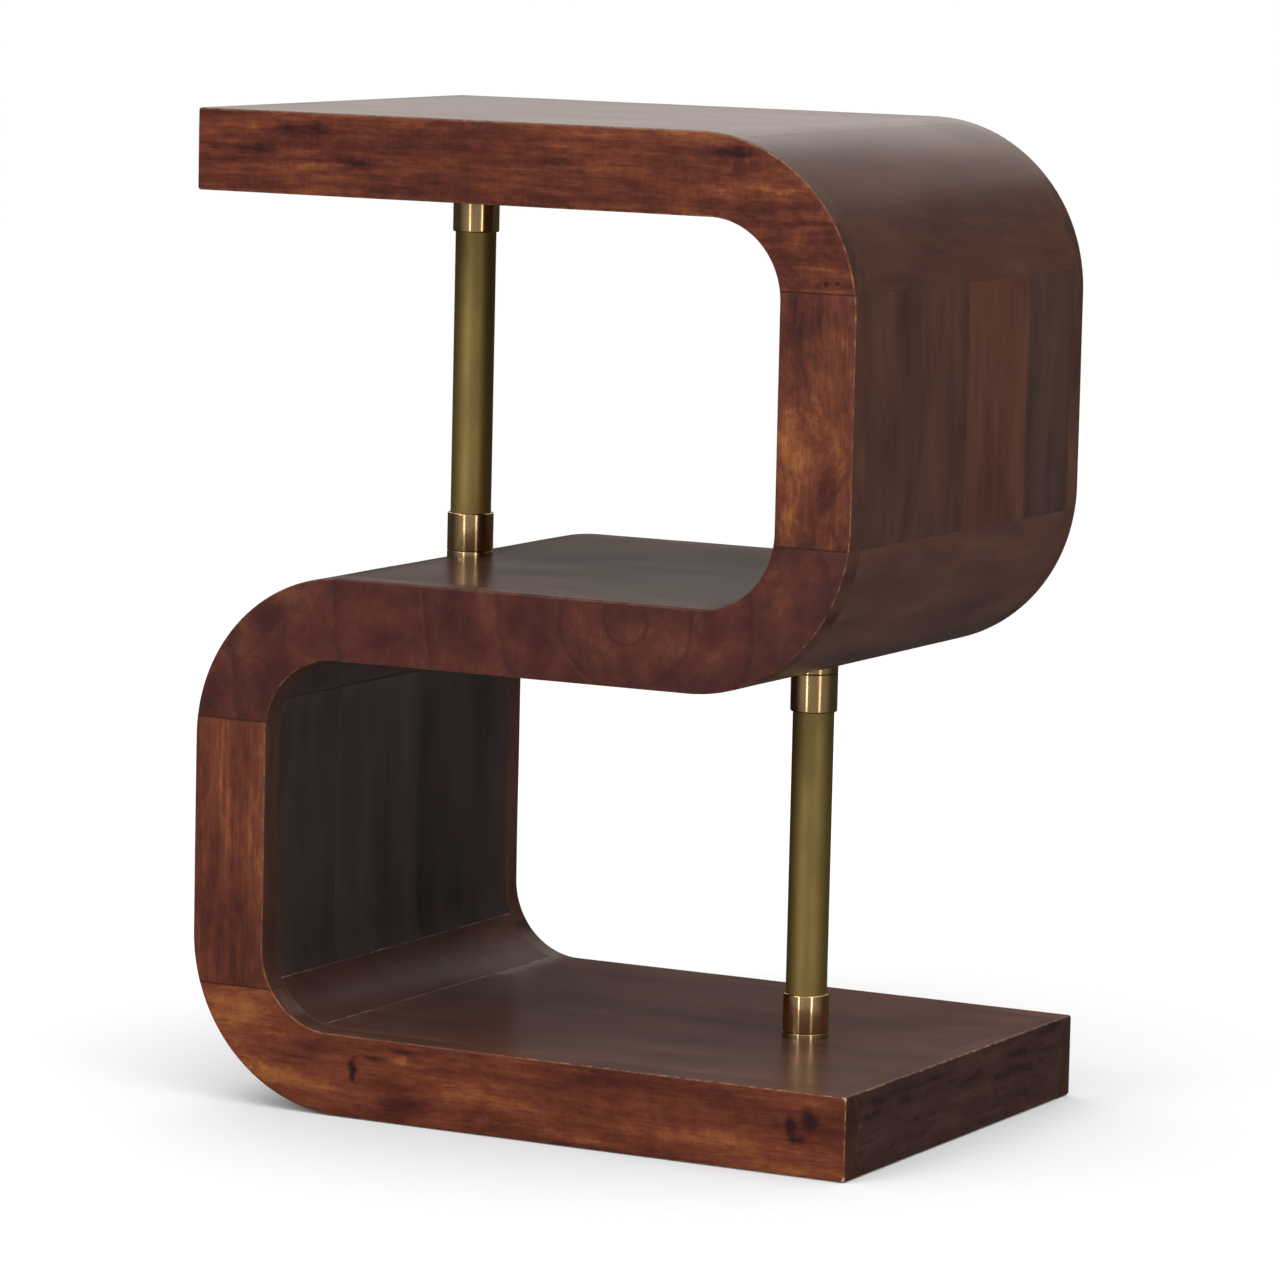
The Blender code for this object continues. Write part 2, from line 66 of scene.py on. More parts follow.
LOWER_POST_X = (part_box("lower_post")[0].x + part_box("lower_post")[1].x) / 2

# Named as in the part's source
OUTER_RADIUS = 0.103
INNER_RADIUS = 0.047
TUBE_WALL = 0.0015
COLLAR_WALL = 0.0014
SPIGOT_WALL = 0.0022

# How fine the new meshes are, and how their edges are finished
CURVE_STEP = math.radians(3.0)
SURFACE_STEP = 0.008
ARRIS = 0.0016  # rounding of the edges that a hand meets
HAIRLINE = 0.05  # the same rounding at a glue joint, as a share of it
GLUE_BEAD = 0.55  # and at the corner strips, whose joints are filled
CLOSE = 0.00013  # how far each fine piece reaches into a joint's gap
WAVE_HEIGHT = 0.00012  # unevenness of the sanded faces
WAVE_LENGTH = 0.045
FLAT_NEAR_POST = (0.020, 0.045)  # flat up to the first distance, fully uneven from the second
ROUND_STEPS = 96
SHARP_TURN = math.radians(40.0)
SEAT_GAP = 0.0003  # round a flange in its recess
SCREW_HOLE_RADIUS = 0.0026
SEAM_ROUND = 0.0004
LIP_ROUND = 0.0011
RIM_STEPS = 5

# Strengths and colours of the marks in the wood
GLUE_LINE = 0.0007  # half the width of the dark line at a frame's joint
# filler darkened as painted shade, for the strip in the shaded inner corner under the shelf
FILLER_IN_PAINTED_SHADE = (0.060, 0.040, 0.032)
FILLER = (0.30, 0.205, 0.145)
SIDE_CONTRAST = 2.6  # of the sides round a frame's face
END_SHADE = 0.62  # of a rail's end, next to its dark cap
RINGS = (0.072, 0.316, 0.0759)  # the middle rail's pith, and the step of the rings' square root
RING_DARKNESS = 0.50
RING_LIGHT = 0.36
SMUDGE_DEPTH = 0.16
OFF_LATTICE = 0.00053  # keeps flat faces off the even steps of the fine noise

FLOOR_RADIUS = 60.0
FLOOR_CLEARANCE = 0.0004
FLOOR_GLOW = 0.06
FLOOR_STOPS = ((0.3, (0.835, 0.872, 0.908)), (0.7, (0.845, 0.882, 0.918)))
SKY_STRENGTH = 1.0
SKY_STOPS = ((0.0, 0.06), (0.35, 0.09), (0.60, 0.45), (0.85, 1.8), (1.0, 2.1))
SKY_TINT = (1.0, 0.955, 0.915)
BACKDROP = (0.90, 0.895, 0.89, 1.0)
GLOW_SIDE = (0.463, -0.886, 0.0)  # the side that the front light comes from
GLOW = 0.30
STRIPS = (("left_strip", -33.0), ("right_strip", 29.0))  # degrees from the camera's side
STRIP_AWAY = 2.0
STRIP_HEIGHT = 0.5
STRIP_SIZE = (0.16, 2.0)

CAMERA_PLACE = (1.7845, -3.3615, 0.760)
CAMERA_YAW = 27.57
CAMERA_PITCH = -7.29
CAMERA_ROLL = -1.35
SENSOR = 36.0
LENS = 177.4
SHIFT = (-0.0344, 0.0117)


class Curve:
    """The outer or the inner arc of a corner. sx and sz point to the outside of the turn."""

    def __init__(self, centre, radius, sx, sz):
        self.centre = centre
        self.radius = radius
        self.sx = sx
        self.sz = sz

    def arc(self, start, end, count):
        """Points from angle start to end: 0 faces the upright side, 90 degrees the board side."""
        points = []
        for index in range(count + 1):
            angle = start + (end - start) * index / count
            x = self.centre[0] + self.sx * self.radius * math.cos(angle)
            z = self.centre[1] + self.sz * self.radius * math.sin(angle)
            points.append((x, z))
        return points

    def angle_at_height(self, z):
        return math.asin(max(0.0, self.sz * (z - self.centre[1])) / self.radius)

    def angle_at_x(self, x):
        return math.acos(max(0.0, self.sx * (x - self.centre[0])) / self.radius)


class Corner:
    """A quarter turn of the ribbon, whose faces meet at (face_x, face_z) before rounding."""

    def __init__(self, name, face_x, face_z, sx, sz, board):
        self.name = name
        self.face_x = face_x
        self.face_z = face_z
        self.sx = sx
        self.sz = sz
        self.board = board
        outer = (face_x - sx * OUTER_RADIUS, face_z - sz * OUTER_RADIUS)
        inner = (face_x - sx * (UPRIGHT + INNER_RADIUS), face_z - sz * (board + INNER_RADIUS))
        self.outer = Curve(outer, OUTER_RADIUS, sx, sz)
        self.inner = Curve(inner, INNER_RADIUS, sx, sz)


TOP_RIGHT = Corner("top_right", RIGHT_FACE, TOP, 1, 1, UPRIGHT)
SHELF_RIGHT = Corner("shelf_right", RIGHT_FACE, SHELF_UNDERSIDE, 1, -1, BOARD)
SHELF_LEFT = Corner("shelf_left", LEFT_FACE, SHELF_TOP, -1, 1, BOARD)
BASE_LEFT = Corner("base_left", LEFT_FACE, 0.0, -1, -1, BOARD)
CORNERS = (TOP_RIGHT, SHELF_RIGHT, SHELF_LEFT, BASE_LEFT)


# Meshes

def add_object(name, data):
    thing = bpy.data.objects.new(name, data)
    bpy.context.scene.collection.objects.link(thing)
    return thing


def mesh_from(body, name):
    mesh = bpy.data.meshes.new(name)
    body.to_mesh(mesh)
    body.free()
    return mesh


def refine(side_a, side_b, step):
    """Add stations so that neither side has a stretch longer than step."""
    fine_a, fine_b = [side_a[0]], [side_b[0]]
    for index in range(1, len(side_a)):
        a0, a1 = Vector(side_a[index - 1]), Vector(side_a[index])
        b0, b1 = Vector(side_b[index - 1]), Vector(side_b[index])
        count = max(1, math.ceil(max((a1 - a0).length, (b1 - b0).length) / step))
        for part in range(1, count + 1):
            fine_a.append(tuple(a0.lerp(a1, part / count)))
            fine_b.append(tuple(b0.lerp(b1, part / count)))
    return fine_a, fine_b


def sanded(point, sides):
    """The point with the slight unevenness of a hand-sanded face."""
    x, y, z = point
    post_x = UPPER_POST_X if z > (SHELF_TOP + SHELF_UNDERSIDE) / 2 else LOWER_POST_X
    near, far = FLAT_NEAR_POST
    from_post = min(math.hypot(x - UPPER_POST_X, y), math.hypot(x - LOWER_POST_X, y))
    calm = min(1.0, max(0.0, (from_post - near) / (far - near)))
    wave = noise.noise(Vector(point) / WAVE_LENGTH + Vector((3.7, 1.9, 5.3)))
    return Vector(point) + sides * (wave * WAVE_HEIGHT * calm)


def lattice(name, side_a, side_b, low_y, high_y, exposed=(), bead=(), step=SURFACE_STEP):
    """A closed piece between two rows of XZ points, run from low_y to high_y.

    Its six sides are a, b, front, back, start and end. Edges between two sides that are
    both in exposed get the full rounding, those in bead the glue bead, others a hairline.
    """
    side_a, side_b = refine(side_a, side_b, step)
    last_i = len(side_a) - 1
    thickness = (Vector(side_a[last_i // 2]) - Vector(side_b[last_i // 2])).length
    last_j = max(2, math.ceil(thickness / step))
    last_k = max(2, math.ceil((high_y - low_y) / step))
    body = bmesh.new()
    weights = body.edges.layers.float.new("bevel_weight_edge")
    placed = {}

    def sides_of(key):
        i, j, k = key
        found = set()
        for value, last, low_name, high_name in (
            (i, last_i, "start", "end"), (j, last_j, "a", "b"), (k, last_k, "front", "back"),
        ):
            if value == 0:
                found.add(low_name)
            if value == last:
                found.add(high_name)
        return found

    def vertex(i, j, k):
        key = (i, j, k)
        if key not in placed:
            a, b = Vector(side_a[i]), Vector(side_b[i])
            flat = a.lerp(b, j / last_j)
            y = low_y + (high_y - low_y) * k / last_k
            sides = sides_of(key)
            push = Vector((0.0, 0.0, 0.0))
            out = (a - b).normalized()
            if "a" in sides:
                push += Vector((out.x, 0.0, out.y))
            if "b" in sides:
                push -= Vector((out.x, 0.0, out.y))
            if "front" in sides and "front" in exposed:
                push.y -= 1.0
            if "back" in sides and "back" in exposed:
                push.y += 1.0
            if push.length > 0.0:
                push.normalize()
            placed[key] = body.verts.new(sanded((flat.x, y, flat.y), push))
        return placed[key]

    def sheet(lines, columns, at):
        for row in range(lines):
            for column in range(columns):
                corners = (
                    at(row, column), at(row + 1, column),
                    at(row + 1, column + 1), at(row, column + 1),
                )
                body.faces.new(corners)

    sheet(last_i, last_j, lambda i, j: vertex(i, j, 0))
    sheet(last_i, last_j, lambda i, j: vertex(i, last_j - j, last_k))
    sheet(last_i, last_k, lambda i, k: vertex(i, 0, last_k - k))
    sheet(last_i, last_k, lambda i, k: vertex(i, last_j, k))
    sheet(last_j, last_k, lambda j, k: vertex(0, last_j - j, k))
    sheet(last_j, last_k, lambda j, k: vertex(last_i, j, k))
    bmesh.ops.recalc_face_normals(body, faces=body.faces)
    keys = {vert: key for key, vert in placed.items()}
    for edge in body.edges:
        shared = sides_of(keys[edge.verts[0]]) & sides_of(keys[edge.verts[1]])
        if len(shared) < 2:
            continue
        if all(side in exposed for side in shared):
            edge[weights] = 1.0
        elif any(side in bead for side in shared) and "a" in shared:
            edge[weights] = GLUE_BEAD
        else:
            edge[weights] = HAIRLINE
    mesh = mesh_from(body, name)
    mesh.shade_smooth()
    return add_object(name, mesh)


def drill(piece, x, low, high, radius):
    """Cut a round hole along Z through the piece at y = 0."""
    body = bmesh.new()
    bmesh.ops.create_cone(
        body, cap_ends=True, segments=96, radius1=radius, radius2=radius, depth=high - low,
        matrix=Matrix.Translation((x, 0.0, (low + high) / 2)),
    )
    cutter = add_object("drill", mesh_from(body, "drill"))
    boolean = piece.modifiers.new("hole", "BOOLEAN")
    boolean.operation = "DIFFERENCE"
    boolean.object = cutter
    bake_modifiers(piece)
    bpy.data.objects.remove(cutter, do_unlink=True)


def bake_modifiers(piece):
    bpy.context.view_layer.update()
    evaluated = piece.evaluated_get(bpy.context.evaluated_depsgraph_get())
    mesh = bpy.data.meshes.new_from_object(evaluated)
    piece.modifiers.clear()
    piece.data = mesh


def dress(piece, node, slot, *materials):
    """Round the edges, give the materials, and let the piece stand for its CAD node."""
    piece.data.materials.clear()
    for material in materials:
        piece.data.materials.append(material)
    bevel = piece.modifiers.new("eased_edges", "BEVEL")
    bevel.width = ARRIS
    bevel.segments = 3
    bevel.limit_method = "WEIGHT"
    bevel.material = len(materials) - 1
    bevel.harden_normals = True
    bevel.use_clamp_overlap = True
    bake_modifiers(piece)
    stand_for(piece, node)


def stand_for(piece, node):
    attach(piece, "root")
    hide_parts(node)


def turned(name, profile, x):
    """A turned solid about an upright axis at x, from a closed profile of radius and height."""
    body = bmesh.new()
    rings = []
    for step in range(ROUND_STEPS):
        angle = 2 * math.pi * step / ROUND_STEPS
        ring = [body.verts.new((x + radius * math.cos(angle), radius * math.sin(angle), z))
                for radius, z in profile]
        rings.append(ring)
    for step in range(ROUND_STEPS):
        here, there = rings[step], rings[(step + 1) % ROUND_STEPS]
        for index in range(len(profile)):
            after = (index + 1) % len(profile)
            body.faces.new((here[index], there[index], there[after], here[after]))
    bmesh.ops.recalc_face_normals(body, faces=body.faces)
    mesh = mesh_from(body, name)
    mesh.shade_smooth()
    mesh.set_sharp_from_angle(angle=SHARP_TURN)
    return add_object(name, mesh)


# Procedural materials

class Nodes:
    """Short calls for building a node tree."""

    def __init__(self, tree):
        self.tree = tree

    def node(self, kind, **settings):
        made = self.tree.nodes.new(kind)
        for key, value in settings.items():
            setattr(made, key, value)
        return made

    def link(self, source, target):
        """Link a socket, or set a plain value."""
        if isinstance(source, bpy.types.NodeSocket):
            self.tree.links.new(source, target)
        else:
            target.default_value = source

    def math(self, operation, first, second=0.0, third=0.0):
        made = self.node("ShaderNodeMath", operation=operation)
        for socket, value in zip(made.inputs, (first, second, third)):
            self.link(value, socket)
        return made.outputs[0]

    def times(self, first, *others):
        for other in others:
            first = self.math("MULTIPLY", first, other)
        return first

    def blend_in(self, value, share, total):
        """The total with a share of the value added."""
        return self.math("MULTIPLY_ADD", value, share, total)

    def vector(self, operation, first, second=(0.0, 0.0, 0.0)):
        made = self.node("ShaderNodeVectorMath", operation=operation)
        self.link(first, made.inputs[0])
        self.link(second, made.inputs[1])
        return made.outputs["Value" if operation in ("LENGTH", "DOT_PRODUCT") else "Vector"]

    def dot(self, first, second):
        return self.vector("DOT_PRODUCT", first, second)

    def scaled(self, vector, scale):
        made = self.node("ShaderNodeVectorMath", operation="SCALE")
        self.link(vector, made.inputs[0])
        self.link(scale, made.inputs["Scale"])
        return made.outputs["Vector"]

    def mapped(self, vector, location=(0, 0, 0), rotation=(0, 0, 0), scale=(1, 1, 1)):
        made = self.node("ShaderNodeMapping")
        self.link(vector, made.inputs["Vector"])
        made.inputs["Location"].default_value = location
        made.inputs["Rotation"].default_value = rotation
        made.inputs["Scale"].default_value = scale
        return made.outputs["Vector"]

    def noise(self, vector, scale, detail=2.0, roughness=0.5, colour=False):
        """Noise with scale cycles to a metre, the same along all axes or one number for each."""
        if not isinstance(scale, tuple):
            scale = (scale, scale, scale)
        made = self.node("ShaderNodeTexNoise")
        self.link(self.mapped(vector, scale=scale), made.inputs["Vector"])
        made.inputs["Scale"].default_value = 1.0
        made.inputs["Detail"].default_value = detail
        made.inputs["Roughness"].default_value = roughness
        return made.outputs["Color" if colour else "Fac"]

    def ramp(self, factor, stops):
        made = self.node("ShaderNodeValToRGB")
        self.link(factor, made.inputs["Fac"])
        elements = made.color_ramp.elements
        while len(elements) < len(stops):
            elements.new(0.5)
        for element, (position, colour) in zip(elements, stops):
            element.position = position
            element.color = (*colour, 1.0) if isinstance(colour, tuple) else (colour,) * 3 + (1.0,)
        return made.outputs["Color"]

    def span(self, value, low, high, to_low=0.0, to_high=1.0):
        """A smooth step between two levels of the value."""
        made = self.node("ShaderNodeMapRange", interpolation_type="SMOOTHSTEP")
        self.link(value, made.inputs["Value"])
        levels = (("From Min", low), ("From Max", high), ("To Min", to_low), ("To Max", to_high))
        for key, level in levels:
            made.inputs[key].default_value = level
        return made.outputs["Result"]

    def mix(self, factor, first, second, blend="MIX"):
        made = self.node("ShaderNodeMix", data_type="RGBA", blend_type=blend)
        self.link(factor, made.inputs[0])
        for value, socket in ((first, made.inputs[6]), (second, made.inputs[7])):
            if isinstance(value, tuple):
                value = (*value, 1.0)
            self.link(value, socket)
        return made.outputs[2]

    def choose(self, factor, first, second, output):
        """Send the first or the second shader to the output, as the factor says."""
        made = self.node("ShaderNodeMixShader")
        for source, target in zip((factor, first, second), made.inputs):
            self.link(source, target)
        self.link(made.outputs[0], self.tree.nodes[output].inputs["Surface"])


class Graph(Nodes):
    """The node tree of a new material."""

    def __init__(self, name):
        self.material = bpy.data.materials.new(name)
        self.material.use_nodes = True
        super().__init__(self.material.node_tree)
        self.shader = self.tree.nodes["Principled BSDF"]
        coordinates = self.node("ShaderNodeTexCoord")
        self.place = coordinates.outputs["Object"]
        self.normal = coordinates.outputs["Normal"]

    def shade(self, **inputs):
        """Link or set the shader's inputs, named with _ for a space."""
        for key, value in inputs.items():
            self.link(value, self.shader.inputs[key.replace("_", " ")])

    def bump(self, height, strength, distance):
        made = self.node("ShaderNodeBump")
        made.inputs["Strength"].default_value = strength
        made.inputs["Distance"].default_value = distance
        self.link(height, made.inputs["Height"])
        self.link(made.outputs["Normal"], self.shader.inputs["Normal"])


GRAIN_TURNS = {
    "X": (0.0, 0.0, 0.0),
    "Y": (0.0, 0.0, -math.pi / 2),
    "Z": (0.0, math.pi / 2, 0.0),
}

# Deep, middle, light and golden tone of each stain, and where they stand on the tone's scale
EDGE_STAIN = (
    (0.030, 0.0085, 0.0080), (0.088, 0.0210, 0.0125), (0.150, 0.0400, 0.0180), (0.290, 0.1000, 0.0280),
)
RAIL_STAIN = (
    (0.034, 0.0100, 0.0095), (0.066, 0.0165, 0.0125), (0.090, 0.0245, 0.0160), (0.140, 0.0440, 0.0245),
)
FACE_STAIN = (
    (0.044, 0.0195, 0.0145), (0.068, 0.0300, 0.0212), (0.084, 0.0375, 0.0250), (0.110, 0.0500, 0.0320),
)
RED_STAIN = (
    (0.056, 0.0210, 0.0145), (0.088, 0.0330, 0.0210), (0.108, 0.0410, 0.0250), (0.135, 0.0530, 0.0310),
)
COOL_STAIN = (
    (0.024, 0.0170, 0.0165), (0.042, 0.0275, 0.0262), (0.054, 0.0345, 0.0320), (0.072, 0.0450, 0.0400),
)
DARK_STAIN = (
    (0.030, 0.0155, 0.0135), (0.052, 0.0265, 0.0215), (0.066, 0.0335, 0.0262), (0.090, 0.0450, 0.0320),
)
STOPS = (0.0, 0.38, 0.66, 1.0)
KNOT_STAIN = (0.016, 0.0065, 0.0070)
ARRIS_WEAR = (0.330, 0.170, 0.070)
CHIPPED = (0.46, 0.30, 0.21)

# Cycles to a metre of each pattern, along the fibres and across them
BROAD_TONE = (8, 36, 36)
FINE_MOTTLE = (75, 190, 190)
LONG_STREAKS = (4, 150, 150)
CROSS_TICKS = (430, 45, 45)
PORES = (60, 900, 900)

# Roughness from the clearest to the dullest place. A range that crossed 0.274 would show as
# lines in the render's denoised surface, so each range lies on one side of it.
CLEAR_GLOSS = (0.20, 0.26)
SATIN_GLOSS = (0.29, 0.36)
MATT_GLOSS = (0.36, 0.46)


class Look:
    """What tells one piece of wood from another."""

    shade = 1.0  # brightens or darkens the stain; on the boards that face up it also paints light from above
    contrast = 0.13  # half the span of the tone noise that the stain covers
    warp = 0.020  # how far the grain wanders, in metres
    curl = 1.0  # how many finer turns the wandering has
    mottle = 0.30  # shares of the fine mottle and of the long streaks
    streak = 0.20
    ticks = 0.0  # short marks across the grain
    fibre = 0.14  # strength of the fine lines, and how many to a metre
    fine = 600
    pores = 0.5
    rings = None  # (x, z, growth) of the growth rings about a pith
    figure = None  # (x, z, radius, strength) of a figured patch
    knots = ()  # (x, z, half width, half height) of each knot
    smudges = ()  # (x, z, half width, half height, strength), light if negative
    joints = ()  # heights of the glue lines at the piece's ends
    chips = ()  # (x, z, radius) of each rubbed corner
    face = None  # direction of the face that shows the main stain
    side_shade = 1.0  # painted light: how much lighter the sides round that face are where they look up
    dim_end = None  # x direction of the end that is as dark as the caps
    worn = None  # colour of the filler that shows in places
    gloss = SATIN_GLOSS
    lacquer = 0.30  # specular level
    side_lacquer = None  # the same on the sides round the face, if it differs
    rub = 1.0  # strength of the worn line along the edges
    relief = 0.10

    def __init__(self, grain, stain, seed, **settings):
        self.grain = grain  # axis of the fibres
        self.stain = stain
        self.seed = seed  # where in the pattern the piece is cut from
        for key, value in settings.items():
            setattr(self, key, value)


def oval(graph, x, z, half_width, half_height):
    """Offset from (x, z), and the distance from it, which is 1 on the oval's outline."""
    offset = graph.vector("SUBTRACT", graph.place, (x, 0.0, z))
    flat = graph.vector("MULTIPLY", offset, (1.0 / half_width, 0.0, 1.0 / half_height))
    return offset, graph.vector("LENGTH", flat)


def bend_grain(graph, look):
    """The place along the wandering grain, which is pushed round the knots, and their hearts."""
    drift = graph.noise(graph.place, 9, look.curl, colour=True)
    drift = graph.vector("SUBTRACT", drift, (0.5, 0.5, 0.5))
    bent = graph.vector("ADD", graph.place, graph.scaled(drift, look.warp * 2))
    hearts = None
    for x, z, half_width, half_height in look.knots:
        offset, away = oval(graph, x, z, half_width, half_height)
        pull = graph.times(graph.span(away, 0.5, 3.5, 1.0, 0.0), -0.45)
        bent = graph.vector("ADD", bent, graph.scaled(offset, pull))
        ragged = graph.noise(graph.place, 260, 4.0, 0.7)
        heart = graph.span(graph.blend_in(ragged, 2.4, away), 1.2, 2.6, 1.0, 0.0)
        hearts = heart if hearts is None else graph.math("MAXIMUM", hearts, heart)
    return bent, hearts


def add_figure(graph, look, bent, value):
    """Tight curls of light and dark in one round patch."""
    x, z, radius, strength = look.figure
    inside = graph.span(oval(graph, x, z, radius, radius)[1], 0.6, 1.0, strength, 0.0)
    curls = graph.noise(bent, 85, 5.0, 0.70)
    return graph.blend_in(graph.math("SUBTRACT", curls, 0.5), inside, value)


def add_smudges(graph, look, value):
    """Lower or raise the tone in soft marks with ragged edges."""
    ragged = graph.noise(graph.place, (90, 90, 150), 5.0, 0.7)
    for x, z, half_width, half_height, strength in look.smudges:
        away = oval(graph, x, z, half_width, half_height)[1]
        edge = graph.blend_in(ragged, 2.4, away)
        mark = graph.span(edge, 1.2, 3.0, -strength * SMUDGE_DEPTH, 0.0)
        value = graph.math("ADD", value, mark)
    return value


def add_joints(graph, look, colour):
    """A thin dark glue line at each joint."""
    height = graph.dot(graph.place, (0.0, 0.0, 1.0))
    for joint in look.joints:
        away = graph.math("ABSOLUTE", graph.math("SUBTRACT", height, joint))
        line = graph.span(away, GLUE_LINE * 0.4, GLUE_LINE, 0.75, 0.0)
        colour = graph.mix(line, colour, KNOT_STAIN)
    return colour


def add_rings(graph, look, colour, deep, gold):
    """Dark growth rings that widen outwards, each with a fine light line that comes and goes."""
    x, z, growth = look.rings
    from_pith = graph.vector("SUBTRACT", graph.place, (x, 0.0, z))
    from_pith = graph.vector("MULTIPLY", from_pith, (1.0, 0.0, 1.0))
    wobble = graph.noise(graph.place, 18, 2.0)
    distance = graph.blend_in(wobble, 0.012, graph.vector("LENGTH", from_pith))
    phase = graph.math("FRACT", graph.math("DIVIDE", graph.math("SQRT", distance), growth))
    rise = graph.span(phase, 0.82, 0.95)
    fall = graph.span(phase, 0.96, 1.0, 1.0, 0.0)
    line = graph.times(graph.span(phase, 0.92, 0.96), fall)
    broken = graph.span(graph.noise(graph.place, (30, 30, 45), 4.0, 0.7), 0.40, 0.58)
    broken = graph.times(broken, graph.span(distance, 0.016, 0.026))
    colour = graph.mix(graph.times(rise, fall, RING_DARKNESS), colour, deep)
    return graph.mix(graph.times(line, broken, RING_LIGHT), colour, gold)


def add_texture(graph, look, along, straight, colour):
    """Multiply in the fine lines of the fibres and the short marks across them."""
    patterns = [(graph.noise(straight, (look.fine / 20, look.fine, look.fine), 2.0, 0.6), 0.20, look.fibre)]
    if look.ticks > 0.0:
        patterns.append((graph.noise(along, CROSS_TICKS, 3.0, 0.6), 0.14, look.ticks))
    for pattern, reach, strength in patterns:
        stops = ((0.5 - reach, 1.0 - strength), (0.5, 1.0), (0.5 + reach, 1.0 + strength))
        colour = graph.mix(1.0, colour, graph.ramp(pattern, stops), "MULTIPLY")
    return patterns[0][0], colour


def add_sides(graph, look, toward, tone, colour):
    """Keep the main stain to the face, and give the sides round it the stain of the wide faces, with painted
    light on those that look up.
    """
    quiet = graph.blend_in(graph.math("SUBTRACT", tone, 0.5), SIDE_CONTRAST, 0.5)
    side = graph.ramp(quiet, tuple(zip(STOPS, FACE_STAIN)))
    # painted light: the sides that look up are made lighter, like the boards' tops
    level = graph.span(graph.dot(graph.normal, (0.0, 0.0, 1.0)), 0.90, 0.99)
    side = graph.scaled(side, graph.blend_in(level, look.side_shade - 1.0, 1.0))
    if look.dim_end is not None:
        outward = graph.dot(graph.normal, (look.dim_end, 0.0, 0.0))
        side = graph.scaled(side, graph.span(outward, 0.85, 0.97, 1.0, END_SHADE))
    return graph.mix(graph.span(toward, 0.30, 0.80), side, colour)


def add_arris_wear(graph, look, toward, colour):
    """A thin rubbed line where the face turns into the side, and the chips on it."""
    peak = graph.times(graph.span(toward, 0.42, 0.60), graph.span(toward, 0.80, 0.94, 1.0, 0.0))
    rubbed = graph.noise(graph.place, 140, 5.0, 0.7)
    often = graph.span(graph.noise(graph.place, 9, 2.0), 0.40, 0.60, 0.35, 1.0)
    line = graph.times(peak, graph.span(rubbed, 0.42, 0.60, 0.05, 0.85), often, look.rub)
    colour = graph.mix(line, colour, ARRIS_WEAR)
    for x, z, radius in look.chips:
        offset = graph.vector("SUBTRACT", graph.place, (x, 0.0, z))
        away = graph.vector("LENGTH", graph.vector("MULTIPLY", offset, (1.0, 0.0, 1.0)))
        ragged = graph.blend_in(rubbed, radius, away)
        chip = graph.span(ragged, radius * 0.9, radius * 1.5, 0.9, 0.0)
        edge = graph.times(graph.span(toward, 0.20, 0.45), graph.span(toward, 0.97, 0.999, 1.0, 0.0))
        colour = graph.mix(graph.times(chip, edge), colour, CHIPPED)
    return colour


def add_filler(graph, look, colour):
    """Filler that shows in clumps."""
    rubbed = graph.noise(graph.place, 120, 5.0, 0.7)
    clumps = graph.span(graph.noise(graph.place, 22, 2.0), 0.44, 0.60, 0.25, 1.0)
    return graph.mix(graph.times(clumps, graph.span(rubbed, 0.40, 0.56, 0.20, 1.0)), colour, look.worn)


def wood(name, look):
    """Stained and lacquered wood."""
    deep, middle, light, gold = (tuple(look.shade * value for value in tone) for tone in look.stain)
    graph = Graph(name)
    bent, hearts = bend_grain(graph, look)
    cut = {"location": tuple(value + OFF_LATTICE for value in look.seed), "rotation": GRAIN_TURNS[look.grain]}
    along = graph.mapped(bent, **cut)
    straight = graph.mapped(graph.place, **cut)

    tone = graph.noise(along, BROAD_TONE, 5.0, 0.62)
    value = graph.times(tone, 1.0 - look.mottle - look.streak)
    value = graph.blend_in(graph.noise(along, FINE_MOTTLE, 5.0, 0.75), look.mottle, value)
    value = graph.blend_in(graph.noise(along, LONG_STREAKS, 3.0, 0.6), look.streak, value)
    if look.figure is not None:
        value = add_figure(graph, look, bent, value)
    if look.smudges:
        value = add_smudges(graph, look, value)
    value = graph.math("DIVIDE", graph.math("SUBTRACT", value, 0.5 - look.contrast), 2 * look.contrast)

    colour = graph.ramp(value, tuple(zip(STOPS, (deep, middle, light, gold))))
    if look.rings is not None:
        colour = add_rings(graph, look, colour, deep, gold)
    fibre, colour = add_texture(graph, look, along, straight, colour)
    pore_mask = graph.span(graph.noise(straight, PORES, 1.0), 0.66, 0.76)
    colour = graph.mix(graph.times(pore_mask, look.pores), colour, deep)
    if hearts is not None:
        colour = graph.mix(graph.times(hearts, 0.85), colour, KNOT_STAIN)
    colour = add_joints(graph, look, colour)
    lacquer = look.lacquer
    if look.face is not None:
        toward = graph.dot(graph.normal, look.face)
        colour = add_sides(graph, look, toward, tone, colour)
        colour = add_arris_wear(graph, look, toward, colour)
        if look.side_lacquer is not None:
            lacquer = graph.span(toward, 0.30, 0.80, look.side_lacquer, look.lacquer)
    if look.worn is not None:
        colour = add_filler(graph, look, colour)

    smear = graph.span(graph.noise(graph.place, 9, 3.0, 0.6), 0.30, 0.72, *look.gloss)
    graph.shade(Base_Color=colour, Roughness=smear, Specular_IOR_Level=lacquer)
    graph.bump(graph.blend_in(pore_mask, -look.pores, fibre), look.relief, 0.00010)
    return graph.material


def raw_wood(name, grain):
    """Unfinished pale wood for the blocks and dowels inside."""
    graph = Graph(name)
    along = graph.mapped(graph.place, rotation=GRAIN_TURNS[grain])
    tone = graph.noise(along, (14, 160, 160), 4.0)
    fibre = graph.noise(along, (60, 1200, 1200), 2.0)
    colour = graph.ramp(tone, ((0.3, (0.38, 0.25, 0.13)), (0.7, (0.60, 0.44, 0.27))))
    colour = graph.mix(1.0, colour, graph.ramp(fibre, ((0.3, 0.85), (0.7, 1.1))), "MULTIPLY")
    graph.shade(Base_Color=colour, Roughness=graph.span(tone, 0.2, 0.8, 0.60, 0.80))
    graph.bump(fibre, 0.3, 0.0002)
    return graph.material


